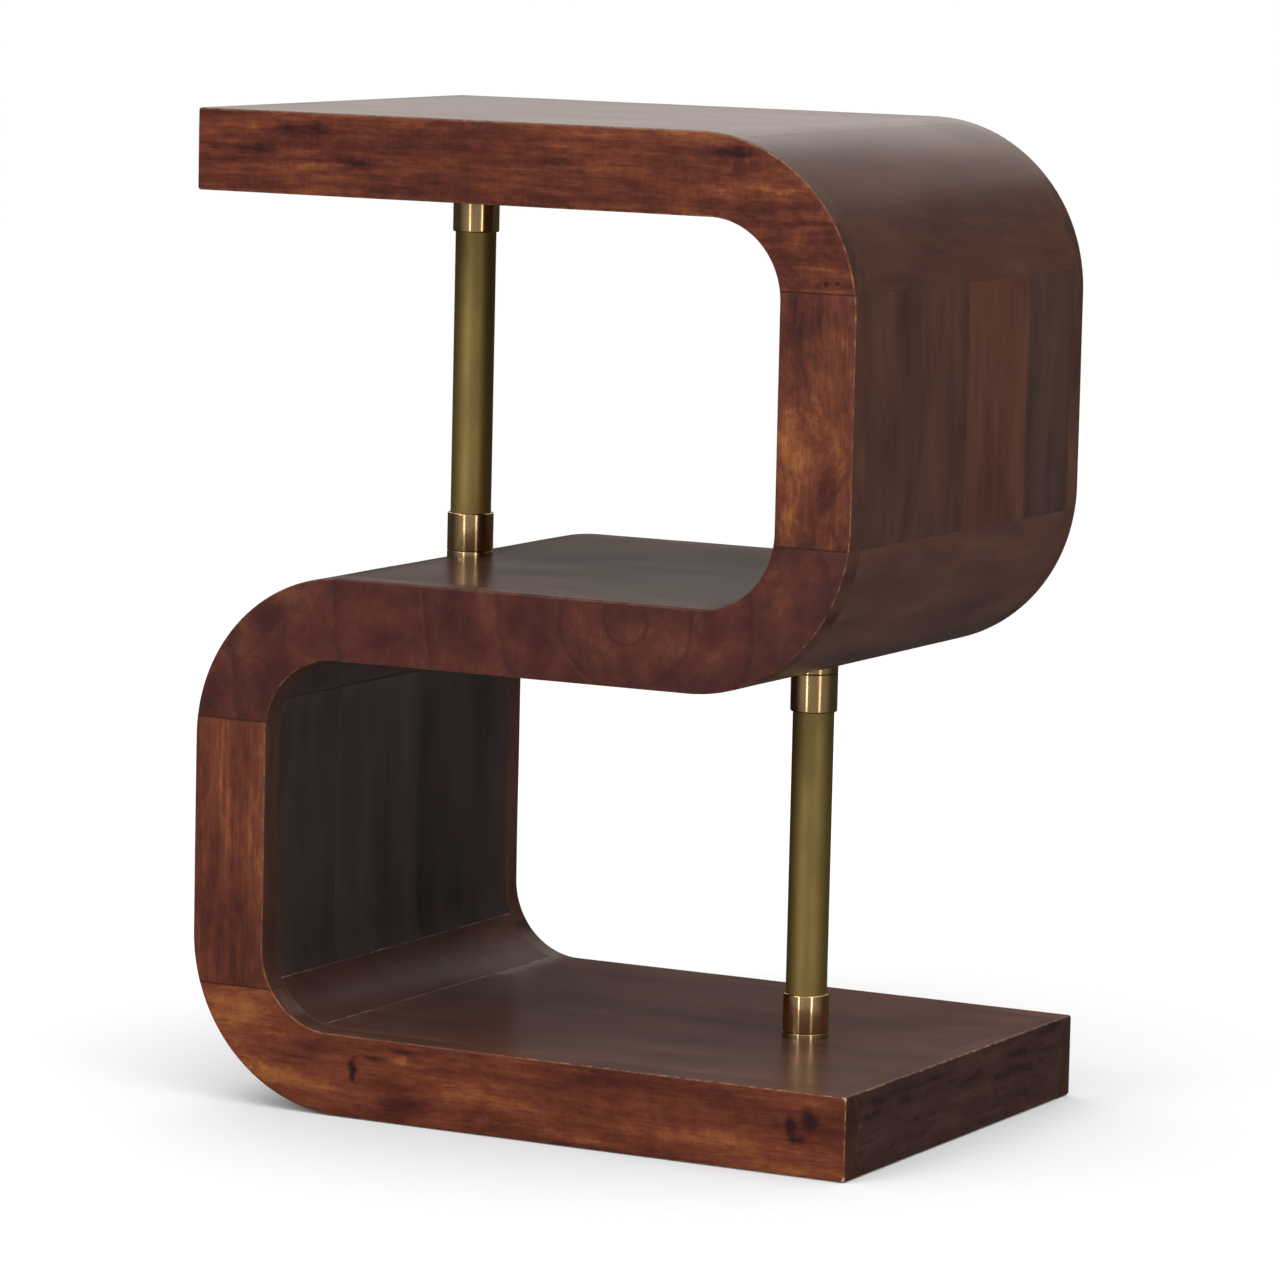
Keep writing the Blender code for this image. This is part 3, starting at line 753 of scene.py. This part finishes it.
METALS = {
    "satin_brass": {
        "clean": (0.42, 0.31, 0.105), "tarnish": (0.34, 0.24, 0.085),
        "gloss": (0.52, 0.60), "streaks": 0.15, "brushed": 0.04,
    },
    "polished_brass": {
        "clean": (0.72, 0.50, 0.25), "tarnish": (0.42, 0.27, 0.12),
        "gloss": (0.12, 0.19), "streaks": 0.4, "brushed": 0.03,
    },
    "zinc_steel": {
        "clean": (0.55, 0.55, 0.56), "tarnish": (0.40, 0.40, 0.41),
        "gloss": (0.30, 0.42), "streaks": 0.3, "brushed": 0.1,
    },
}


def metal(name, clean, tarnish, gloss, streaks, brushed):
    """Metal with faint tarnish, drawn lines and turning marks."""
    graph = Graph(name)
    cloud = graph.noise(graph.place, (45, 45, 22), 4.0, 0.6)
    draw = graph.noise(graph.place, (520, 520, 9), 3.0, 0.55)
    turning = graph.noise(graph.place, (60, 60, 2600), 2.0)
    colour = graph.mix(graph.span(cloud, 0.40, 0.72, 0.05, 0.75), clean, tarnish)
    colour = graph.mix(graph.span(draw, 0.40, 0.66, 0.0, streaks), colour, tarnish)
    graph.shade(Base_Color=colour, Metallic=1.0, Roughness=graph.span(cloud, 0.3, 0.7, *gloss))
    graph.bump(graph.math("ADD", draw, turning), brushed, 0.00005)
    return graph.material


# Frames, panels and corner pieces

def turn_sides(corner, z):
    """Outer and inner curve of a frame's corner, from the board to the joint at z."""
    cut_z = z - corner.sz * CLOSE
    count = math.ceil(math.pi / 2 / CURVE_STEP)
    return [curve.arc(math.pi / 2, curve.angle_at_height(cut_z), count)
            for curve in (corner.outer, corner.inner)]


def stub_sides(corner, z):
    """The last bit of both curves, from the joint at z to the straight of the upright."""
    curves = (corner.outer, corner.inner)
    cuts = [curve.angle_at_height(z + corner.sz * CLOSE) for curve in curves]
    count = max(2, math.ceil(max(cuts) / CURVE_STEP))
    return [curve.arc(cut, 0.0, count) for curve, cut in zip(curves, cuts)]


def frame_piece(node, side_a, side_b, ends=()):
    """A frame's piece between two rows of points, a touch deeper on its hidden side."""
    low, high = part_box(node)
    side, low_y, high_y = "front", low.y, high.y + CLOSE
    if low.y > 0:
        side, low_y, high_y = "back", low.y - CLOSE, high.y
    return lattice(node + "_wood", side_a, side_b, low_y, high_y, exposed=("a", "b", side, *ends))


def end_rail(node, corner, end_x, joint_z):
    outer, inner = turn_sides(corner, joint_z)
    inner_z = corner.face_z - corner.sz * corner.board
    return frame_piece(node, [(end_x, corner.face_z)] + outer, [(end_x, inner_z)] + inner, ("start",))


def middle_rail(node):
    low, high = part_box(node)
    right_outer, right_inner = turn_sides(SHELF_RIGHT, high.z)
    left_outer, left_inner = turn_sides(SHELF_LEFT, low.z)
    return frame_piece(node, right_outer[::-1] + left_inner, right_inner[::-1] + left_outer)


def stile(node, lower, upper):
    low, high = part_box(node)
    lower_outer, lower_inner = stub_sides(lower, low.z)
    upper_outer, upper_inner = stub_sides(upper, high.z)
    return frame_piece(node, lower_outer + upper_outer[::-1], lower_inner + upper_inner[::-1])


def closed_box(node):
    """The node's corners, each pushed a touch into the joints around it."""
    low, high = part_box(node)
    reach = Vector((CLOSE, CLOSE, CLOSE))
    return Vector(low) - reach, Vector(high) + reach


def panel_curve(curve, edge_x):
    """Surface points of a board panel that runs a little way into a corner's curve."""
    start = curve.angle_at_x(edge_x)
    count = max(2, math.ceil((math.pi / 2 - start) / CURVE_STEP))
    return curve.arc(start, math.pi / 2, count)


def board_panel(node, face_z, into, left, right):
    """left and right are the curves that the panel meets, or None at a cap."""
    low, high = closed_box(node)
    if not left:
        low.x += CLOSE
    if not right:
        high.x -= CLOSE
    surface = panel_curve(left, low.x) if left else [(low.x, face_z)]
    surface += panel_curve(right, high.x)[::-1] if right else [(high.x, face_z)]
    back_z = face_z + into * PANEL
    back = [(x, back_z) for x, _ in surface]
    return lattice(node + "_wood", surface, back, low.y, high.y, exposed=("a",))


def side_skin(node, lower, upper, inner):
    """A stave or panel on the outer or inner face of an upright."""
    low, high = closed_box(node)

    def stub(corner, z):
        curve = corner.inner if inner else corner.outer
        cut = curve.angle_at_height(z)
        return curve.arc(cut, 0.0, max(2, math.ceil(cut / CURVE_STEP)))

    surface = stub(lower, low.z) + stub(upper, high.z)[::-1]
    back_x = lower.face_x - lower.sx * (UPRIGHT - PANEL if inner else PANEL)
    back = [(back_x, z) for _, z in surface]
    return lattice(node + "_wood", surface, back, low.y, high.y, exposed=("a",))


def outer_corner(node, corner):
    low, high = closed_box(node)
    joint_z = low.z if corner.sz > 0 else high.z
    joint_x = low.x if corner.sx > 0 else high.x
    count = math.ceil(math.pi / 2 / CURVE_STEP)
    sides = []
    for radius in (OUTER_RADIUS, OUTER_RADIUS - PANEL):
        curve = Curve(corner.outer.centre, radius, corner.sx, corner.sz)
        sides.append(curve.arc(curve.angle_at_height(joint_z), curve.angle_at_x(joint_x), count))
    return lattice(node + "_wood", *sides, low.y, high.y, exposed=("a",))


def corner_strip(node, corner):
    low, high = closed_box(node)
    joint_z = high.z if corner.sz < 0 else low.z
    joint_x = high.x if corner.sx < 0 else low.x
    start = corner.inner.angle_at_height(joint_z)
    end = corner.inner.angle_at_x(joint_x)
    count = math.ceil((end - start) / CURVE_STEP)
    surface = corner.inner.arc(start, end, count)
    back_x = corner.face_x - corner.sx * (UPRIGHT - PANEL)
    back_z = corner.face_z - corner.sz * (corner.board - PANEL)
    first, last = Vector((back_x, joint_z)), Vector((joint_x, back_z))
    back = [tuple(first.lerp(last, index / count)) for index in range(count + 1)]
    return lattice(
        node + "_wood", surface, back, low.y, high.y, exposed=("a",), bead=("start", "end"),
    )


def end_cap(node, outer_x, inner_x):
    low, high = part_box(node)
    inner_x += math.copysign(CLOSE, inner_x - outer_x)
    return lattice(
        node + "_wood", [(outer_x, low.z), (outer_x, high.z)], [(inner_x, low.z), (inner_x, high.z)],
        low.y - CLOSE, high.y + CLOSE, exposed=("a", "start", "end"), step=0.006,
    )


# Looks of the frames, boards and skins

# Marks on the front frame: (x, z, half width, half height, strength), light if negative
FRONT_MARKS = {
    "top_rail": (
        (-0.148, 0.590, 0.020, 0.0040, 0.9), (-0.185, 0.577, 0.022, 0.0026, 0.7),
        (-0.113, 0.570, 0.010, 0.0028, 0.9), (0.024, 0.578, 0.016, 0.0020, 0.5),
        (0.137, 0.589, 0.014, 0.0034, 1.0), (0.150, 0.568, 0.035, 0.0060, -0.4),
        (0.190, 0.522, 0.026, 0.0050, -0.5), (0.197, 0.516, 0.0012, 0.0012, 1.2),
        (0.204, 0.517, 0.0015, 0.0010, 1.2),
    ),
    "right_stile": (
        (0.205, 0.470, 0.008, 0.020, -0.4), (0.176, 0.415, 0.006, 0.030, -0.3),
        (0.182, 0.492, 0.010, 0.010, 0.5), (0.200, 0.400, 0.006, 0.018, 0.5),
    ),
    "middle_rail": (
        (-0.168, 0.299, 0.013, 0.009, 0.9), (0.190, 0.350, 0.022, 0.006, -0.7),
        (0.110, 0.300, 0.012, 0.006, -0.3),
    ),
    "left_stile": (),
    "base_rail": (
        (-0.106, 0.029, 0.0024, 0.0070, 1.8), (-0.092, 0.038, 0.0100, 0.0012, 1.1),
        (-0.070, 0.044, 0.0080, 0.0014, 1.2), (-0.072, 0.039, 0.0060, 0.0026, -0.8),
        (-0.072, 0.013, 0.014, 0.0090, 0.8), (-0.145, 0.022, 0.022, 0.0080, -0.6),
        (-0.190, 0.050, 0.030, 0.0300, -0.7), (-0.035, 0.024, 0.030, 0.0080, -0.5),
        (0.030, 0.008, 0.035, 0.0040, -0.5), (0.200, 0.034, 0.0045, 0.0055, 1.4),
        (0.188, 0.028, 0.0030, 0.0075, 1.2), (0.193, 0.022, 0.0050, 0.0022, 0.9),
    ),
}

# Grain, stain, seed and the other settings of each piece of a frame
# The lighter top sides of the rails set here are painted light from above.
FRAME_WOOD = {
    "top_rail": ("X", EDGE_STAIN, (0.31, 0.2, 0.72), {
        "ticks": 0.08, "warp": 0.007, "mottle": 0.28, "streak": 0.24, "contrast": 0.145,
        "side_shade": 1.4, "dim_end": -1.0, "gloss": CLEAR_GLOSS, "side_lacquer": 0.40,
        "figure": (0.185, 0.545, 0.085, 0.26),
    }),
    "right_stile": ("Z", EDGE_STAIN, (1.13, 0.6, 0.1), {
        "shade": 0.89, "warp": 0.040, "curl": 2.0, "mottle": 0.26, "streak": 0.10, "contrast": 0.165,
        "figure": (0.195, 0.44, 0.5, 0.22),
    }),
    "middle_rail": ("Y", RAIL_STAIN, (2.3, 0.3, 0.4), {
        "contrast": 0.21, "mottle": 0.23, "shade": 0.95, "streak": 0.0, "fibre": 0.08,
        "side_shade": 1.1, "side_lacquer": 0.09, "rub": 0.5, "rings": RINGS,
    }),
    "left_stile": ("Z", EDGE_STAIN, (3.7, 0.15, 0.55), {
        "shade": 0.95, "rub": 0.6, "mottle": 0.25, "streak": 0.28, "warp": 0.008, "contrast": 0.17,
    }),
    "base_rail": ("X", EDGE_STAIN, (4.9, 0.5, 0.3), {
        "mottle": 0.28, "streak": 0.20, "warp": 0.009, "ticks": 0.05, "contrast": 0.19,
        "side_shade": 1.4, "dim_end": 1.0, "lacquer": 0.11, "gloss": CLEAR_GLOSS,
        "knots": ((-0.104, 0.030, 0.0010, 0.0030),),
        "chips": ((BASE_END, BASE_TOP, 0.0035), (BASE_END, 0.001, 0.0030)),
    }),
}
FRAME_LACQUER = 0.18
BACK_CUT = 0.37  # how far along the pattern the back frame's wood is cut


def frame_look(side, part):
    """The look of one piece of an edge frame. The back frame has every second mark, mirrored."""
    grain, stain, seed, settings = FRAME_WOOD[part]
    marks = FRONT_MARKS[part]
    facing = -1.0
    if side == "back":
        marks = tuple((-x, z, *size_and_strength) for x, z, *size_and_strength in marks[::2])
        seed = (seed[0] + BACK_CUT, *seed[1:])
        facing = 1.0
    right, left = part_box(f"{side}_right_stile"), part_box(f"{side}_left_stile")
    joints = {
        "top_rail": (right[1].z,),
        "right_stile": (right[1].z, right[0].z),
        "middle_rail": (right[0].z, left[1].z),
        "left_stile": (left[1].z, left[0].z),
        "base_rail": (left[0].z,),
    }
    own = {"lacquer": FRAME_LACQUER, "smudges": marks, "joints": joints[part], **settings}
    return Look(grain, stain, seed, face=(0.0, facing, 0.0), **own)


def make_frames():
    for side in ("front", "back"):
        top_rail, base_rail = f"{side}_top_rail", f"{side}_base_rail"
        pieces = {
            "top_rail": end_rail(top_rail, TOP_RIGHT, TOP_END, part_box(top_rail)[0].z),
            "right_stile": stile(f"{side}_right_stile", SHELF_RIGHT, TOP_RIGHT),
            "middle_rail": middle_rail(f"{side}_middle_rail"),
            "left_stile": stile(f"{side}_left_stile", BASE_LEFT, SHELF_LEFT),
            "base_rail": end_rail(base_rail, BASE_LEFT, BASE_END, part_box(base_rail)[1].z),
        }
        for part, piece in pieces.items():
            material = wood(f"{side}_{part}_grain", frame_look(side, part))
            dress(piece, f"{side}_{part}", "edge_wood", material)


def face_look(grain, stain, seed, **settings):
    """The quieter look of the wide faces."""
    quiet = {"contrast": 0.18, "mottle": 0.20, "streak": 0.12, "fibre": 0.05, "warp": 0.012,
             "fine": 260, "pores": 0.0, "relief": 0.035}
    return Look(grain, stain, seed, **{**quiet, **settings})


def dress_face(piece, node, grain, stain, seed, **settings):
    look = face_look(grain, stain, seed, **settings)
    dress(piece, node, "face_wood", wood(f"{node}_grain", look))


# Each panel's level, the way into the board, its left and right curve, shade and lacquer
# The panels that face up get a higher shade: painted light from above.
BOARDS = (
    ("top_upper_panel", TOP, -1, None, TOP_RIGHT.outer, 1.4, 0.43),
    ("top_lower_panel", TOP_UNDERSIDE, 1, None, TOP_RIGHT.inner, 1.0, 0.30),
    ("shelf_upper_panel", SHELF_TOP, -1, SHELF_LEFT.outer, SHELF_RIGHT.inner, 1.20, 0.11),
    ("shelf_lower_panel", SHELF_UNDERSIDE, 1, SHELF_LEFT.inner, SHELF_RIGHT.outer, 1.0, 0.30),
    ("base_upper_panel", BASE_TOP, -1, BASE_LEFT.inner, None, 1.40, 0.11),
    ("base_lower_panel", 0.0, 1, BASE_LEFT.outer, None, 1.0, 0.30),
)
SEATS = {
    "top_lower_panel": "upper_post_head", "shelf_upper_panel": "upper_post_foot",
    "shelf_lower_panel": "lower_post_head", "base_upper_panel": "lower_post_foot",
}


def cut_seat(piece, post_end, face_z, into):
    """The recess for the post's flange, and the screw's hole through the panel."""
    low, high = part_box(post_end + "_flange")
    x = (low.x + high.x) / 2
    seat = low.z - SEAT_GAP if into < 0 else high.z + SEAT_GAP
    far = face_z - into * PANEL
    drill(piece, x, min(seat, far), max(seat, far), (high.x - low.x) / 2 + SEAT_GAP)
    drill(piece, x, face_z - 2 * PANEL, face_z + 2 * PANEL, SCREW_HOLE_RADIUS)


def make_boards():
    """The six panels of the three boards, those that face up with the clearer gloss."""
    for number, (node, face_z, into, left, right, shade, lacquer) in enumerate(BOARDS):
        piece = board_panel(node, face_z, into, left, right)
        if node in SEATS:
            cut_seat(piece, SEATS[node], face_z, into)
        gloss = CLEAR_GLOSS if into < 0 else SATIN_GLOSS
        seed = (0.7 * number, 0.4, 0.9)
        dress_face(piece, node, "X", FACE_STAIN, seed, shade=shade, lacquer=lacquer, gloss=gloss)


# Each skin's lower and upper corner, whether it is on the inner face, its stain and shade
SKINS = (
    ("right_outer_stave_1", SHELF_RIGHT, TOP_RIGHT, False, FACE_STAIN, 1.00),
    ("right_outer_stave_2", SHELF_RIGHT, TOP_RIGHT, False, RED_STAIN, 1.08),
    ("right_outer_stave_3", SHELF_RIGHT, TOP_RIGHT, False, DARK_STAIN, 1.10),
    ("left_inner_stave_1", BASE_LEFT, SHELF_LEFT, True, COOL_STAIN, 1.10),
    ("left_inner_stave_2", BASE_LEFT, SHELF_LEFT, True, COOL_STAIN, 1.35),
    ("left_inner_stave_3", BASE_LEFT, SHELF_LEFT, True, COOL_STAIN, 1.00),
    ("left_outer_panel", BASE_LEFT, SHELF_LEFT, False, FACE_STAIN, 1.00),
    ("right_inner_panel", SHELF_RIGHT, TOP_RIGHT, True, FACE_STAIN, 1.00),
)


def make_skins():
    for number, (node, lower, upper, inner, stain, shade) in enumerate(SKINS):
        piece = side_skin(node, lower, upper, inner)
        dress_face(piece, node, "Z", stain, (0.9 * number, 1.3, 0.2), shade=shade)


def make_corners():
    """The outer skin and the inner strip of each corner, with filler along the strip's edges."""
    for number, corner in enumerate(CORNERS):
        node = f"{corner.name}_outer_corner"
        shine = {"lacquer": 0.26, "shade": 1.08}
        if corner is TOP_RIGHT:
            shine = {"lacquer": 0.36, "shade": 1.0, "gloss": CLEAR_GLOSS}
        seed = (1.1 * number, 0.8, 0.6)
        dress_face(outer_corner(node, corner), node, "Y", FACE_STAIN, seed, **shine)

        node = f"{corner.name}_corner_strip"
        # The shelf's left strip, in the shaded inner corner under the shelf, gets the darkened filler:
        # painted shade.
        stain, filler = (COOL_STAIN, FILLER_IN_PAINTED_SHADE) if corner is SHELF_LEFT else (FACE_STAIN, FILLER)
        seed = (1.7 * number, 0.1, 0.5)
        matt = {"gloss": MATT_GLOSS, "lacquer": 0.10, "shade": 1.1}
        dress(corner_strip(node, corner), node, "face_wood",
              wood(f"{node}_grain", face_look("Y", stain, seed, **matt)),
              wood(f"{node}_filler", face_look("Y", stain, seed, worn=filler, **matt)))


def make_caps():
    top_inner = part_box("top_end_cap")[1].x
    base_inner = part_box("base_end_cap")[0].x
    caps = (("top_end_cap", TOP_END, top_inner, 0.30), ("base_end_cap", BASE_END, base_inner, 0.11))
    for number, (node, outer_x, inner_x, lacquer) in enumerate(caps):
        outward = (math.copysign(1.0, outer_x - inner_x), 0.0, 0.0)
        # The cap's side that looks up is made lighter: painted light from above.
        dress_face(
            end_cap(node, outer_x, inner_x), node, "Y", DARK_STAIN, (2.1 * number, 0.9, 0.4),
            face=outward, shade=0.8, side_shade=1.4, gloss=CLEAR_GLOSS, lacquer=lacquer,
            contrast=0.10, mottle=0.34, streak=0.35,
        )


# Brass and hidden pieces

def rim(radius, height, rounding, up):
    """Points round one outer edge of a turned piece, from its side to its upper or lower end."""
    points = []
    for step in range(RIM_STEPS + 1):
        angle = math.pi / 2 * step / RIM_STEPS
        r = radius - rounding * (1 - math.cos(angle))
        z = height - up * rounding * (1 - math.sin(angle))
        points.append((r, z))
    return points


def make_tube(post, x, brass):
    low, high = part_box(post)
    radius = (high.x - low.x) / 2
    bore = radius - TUBE_WALL
    profile = [(radius, low.z), (radius, high.z), (bore, high.z), (bore, low.z)]
    tube = turned(f"{post}_tube", profile, x)
    tube.data.materials.append(brass)
    stand_for(tube, post)
    return bore


def make_collar(post, end, up, x, brass):
    """The sleeve on the tube's end, whose radius and seam with the flange are returned."""
    node = f"{post}_{end}_collar"
    low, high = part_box(node)
    outer = (high.x - low.x) / 2
    seam, lip = (low.z, high.z) if up > 0 else (high.z, low.z)
    profile = rim(outer, seam, SEAM_ROUND, -up)[::-1] + rim(outer, lip, LIP_ROUND, up)
    profile += [(outer - COLLAR_WALL, lip), (outer - COLLAR_WALL, seam)]
    collar = turned(f"{post}_{end}_sleeve", profile, x)
    collar.data.materials.append(brass)
    stand_for(collar, node)
    return outer, seam


def make_flange(post, end, up, x, outer, seam, bore, brass):
    """The disc between the collar and the wood, with a spigot in the tube's bore."""
    node = f"{post}_{end}_flange"
    low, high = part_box(node)
    seat, spigot_end = (low.z, high.z) if up > 0 else (high.z, low.z)
    disc = seam - up * SEAT_GAP
    spigot = bore - SEAT_GAP
    hole = spigot - SPIGOT_WALL
    profile = [(SCREW_HOLE_RADIUS, seat), (outer, seat)] + rim(outer, disc, SEAM_ROUND, up)
    profile += [(spigot, disc), (spigot, spigot_end), (hole, spigot_end), (hole, disc),
                (SCREW_HOLE_RADIUS, disc)]
    flange = turned(f"{post}_{end}_disc", profile, x)
    flange.data.materials.append(brass)
    stand_for(flange, node)


def make_metal():
    satin, polished, steel = (metal(name, **settings) for name, settings in METALS.items())
    for post, x in (("upper_post", UPPER_POST_X), ("lower_post", LOWER_POST_X)):
        bore = make_tube(post, x, satin)
        for end, up in (("foot", 1), ("head", -1)):
            outer, seam = make_collar(post, end, up, x, polished)
            make_flange(post, end, up, x, outer, seam, bore, polished)
            assign(f"{post}_{end}_screw", steel)


def make_core():
    block = raw_wood("block_wood", "Y")
    dowel = raw_wood("dowel_wood", "Z")
    for name in frame["nodes"]:
        if name.endswith("_block"):
            assign(name, block)
        if name.endswith("_dowel"):
            assign(name, dowel)


def assign(node, material):
    """Give a CAD node that stays in view a new material."""
    for slot in frame["nodes"][node].material_slots:
        slot.material = material


# Floor, light and camera

def make_floor():
    """A very wide pale floor, which is clear from below so that it hides nothing there."""
    body = bmesh.new()
    bmesh.ops.create_circle(body, cap_ends=True, segments=128, radius=FLOOR_RADIUS)
    floor = add_object("floor", mesh_from(body, "floor"))
    floor.location.z = -FLOOR_CLEARANCE
    floor.visible_glossy = False
    graph = Graph("pale_floor")
    mottle = graph.noise(graph.place, 1.7, 3.0)
    graph.shade(
        Base_Color=graph.ramp(mottle, FLOOR_STOPS), Roughness=0.8, Specular_IOR_Level=0.0,
        Emission_Color=(1.0, 1.0, 1.0, 1.0), Emission_Strength=FLOOR_GLOW,
    )
    clear = graph.node("ShaderNodeBsdfTransparent")
    below = graph.node("ShaderNodeNewGeometry").outputs["Backfacing"]
    graph.choose(below, graph.shader.outputs[0], clear.outputs[0], "Material Output")
    floor.data.materials.append(graph.material)


def make_sky():
    """Soft light from overhead that fades towards the horizon, and a pale backdrop."""
    world = bpy.data.worlds.new("studio")
    bpy.context.scene.world = world
    world.use_nodes = True
    sky = Nodes(world.node_tree)
    direction = sky.node("ShaderNodeTexCoord").outputs["Generated"]
    split = sky.node("ShaderNodeSeparateXYZ")
    sky.link(direction, split.inputs[0])
    stops = [(height, tuple(level * tint for tint in SKY_TINT)) for height, level in SKY_STOPS]
    fade = sky.ramp(split.outputs["Z"], stops)
    glow = sky.span(sky.dot(direction, GLOW_SIDE), -0.1, 0.8, 0.0, GLOW)
    soft = sky.tree.nodes["Background"]
    sky.link(sky.mix(1.0, fade, glow, "ADD"), soft.inputs["Color"])
    soft.inputs["Strength"].default_value = SKY_STRENGTH
    backdrop = sky.node("ShaderNodeBackground")
    backdrop.inputs["Color"].default_value = BACKDROP
    seen = sky.node("ShaderNodeLightPath").outputs["Is Camera Ray"]
    sky.choose(seen, soft.outputs[0], backdrop.outputs[0], "World Output")


def softbox(name, place, target, size, power, colour=(1.0, 1.0, 1.0)):
    light = bpy.data.lights.new(name, "AREA")
    light.color = colour
    light.shape = "RECTANGLE"
    light.size, light.size_y = size
    light.energy = power
    lamp = add_object(name, light)
    lamp.location = place
    aim = Vector(target) - Vector(place)
    lamp.rotation_euler = aim.to_track_quat("-Z", "Y").to_euler()
    lamp.visible_camera = False


def make_light():
    """The sky, a key light, a card behind the top, and a tall strip at each side of the view."""
    make_sky()
    softbox("key", (-1.6, -3.6, 2.2), (0.0, 0.0, 0.3), (1.6, 1.6), 32.0)
    softbox("back_card", (-0.85, 1.55, 1.06), (0.0, 0.0, 0.62), (2.6, 0.76), 4.8, SKY_TINT)
    for name, turn in STRIPS:
        angle = math.radians(CAMERA_YAW) + math.radians(turn)
        place = (STRIP_AWAY * math.sin(angle), -STRIP_AWAY * math.cos(angle), STRIP_HEIGHT)
        softbox(name, place, (0.0, 0.0, STRIP_HEIGHT), STRIP_SIZE, 5.0)


def make_camera():
    """The camera that sees the table as the reference does, about 3.8 m away."""
    data = bpy.data.cameras.new("camera")
    camera = add_object("camera", data)
    yaw, pitch, roll = (math.radians(value) for value in (CAMERA_YAW, CAMERA_PITCH, CAMERA_ROLL))
    turn = Matrix.Rotation(yaw, 3, "Z") @ Matrix.Rotation(pitch, 3, "X") @ Matrix.Rotation(roll, 3, "Y")
    right, ahead, up = turn.col[0], turn.col[1], turn.col[2]
    axes = Matrix((right, up, -ahead)).transposed().to_4x4()
    camera.matrix_world = Matrix.Translation(CAMERA_PLACE) @ axes
    data.sensor_width = SENSOR
    data.lens = LENS
    data.shift_x, data.shift_y = SHIFT
    data.clip_end = 200.0
    bpy.context.scene.camera = camera


make_frames()
make_boards()
make_skins()
make_corners()
make_caps()
make_metal()
make_core()
make_floor()
make_light()
make_camera()
bpy.context.scene.view_settings.view_transform = "Standard"
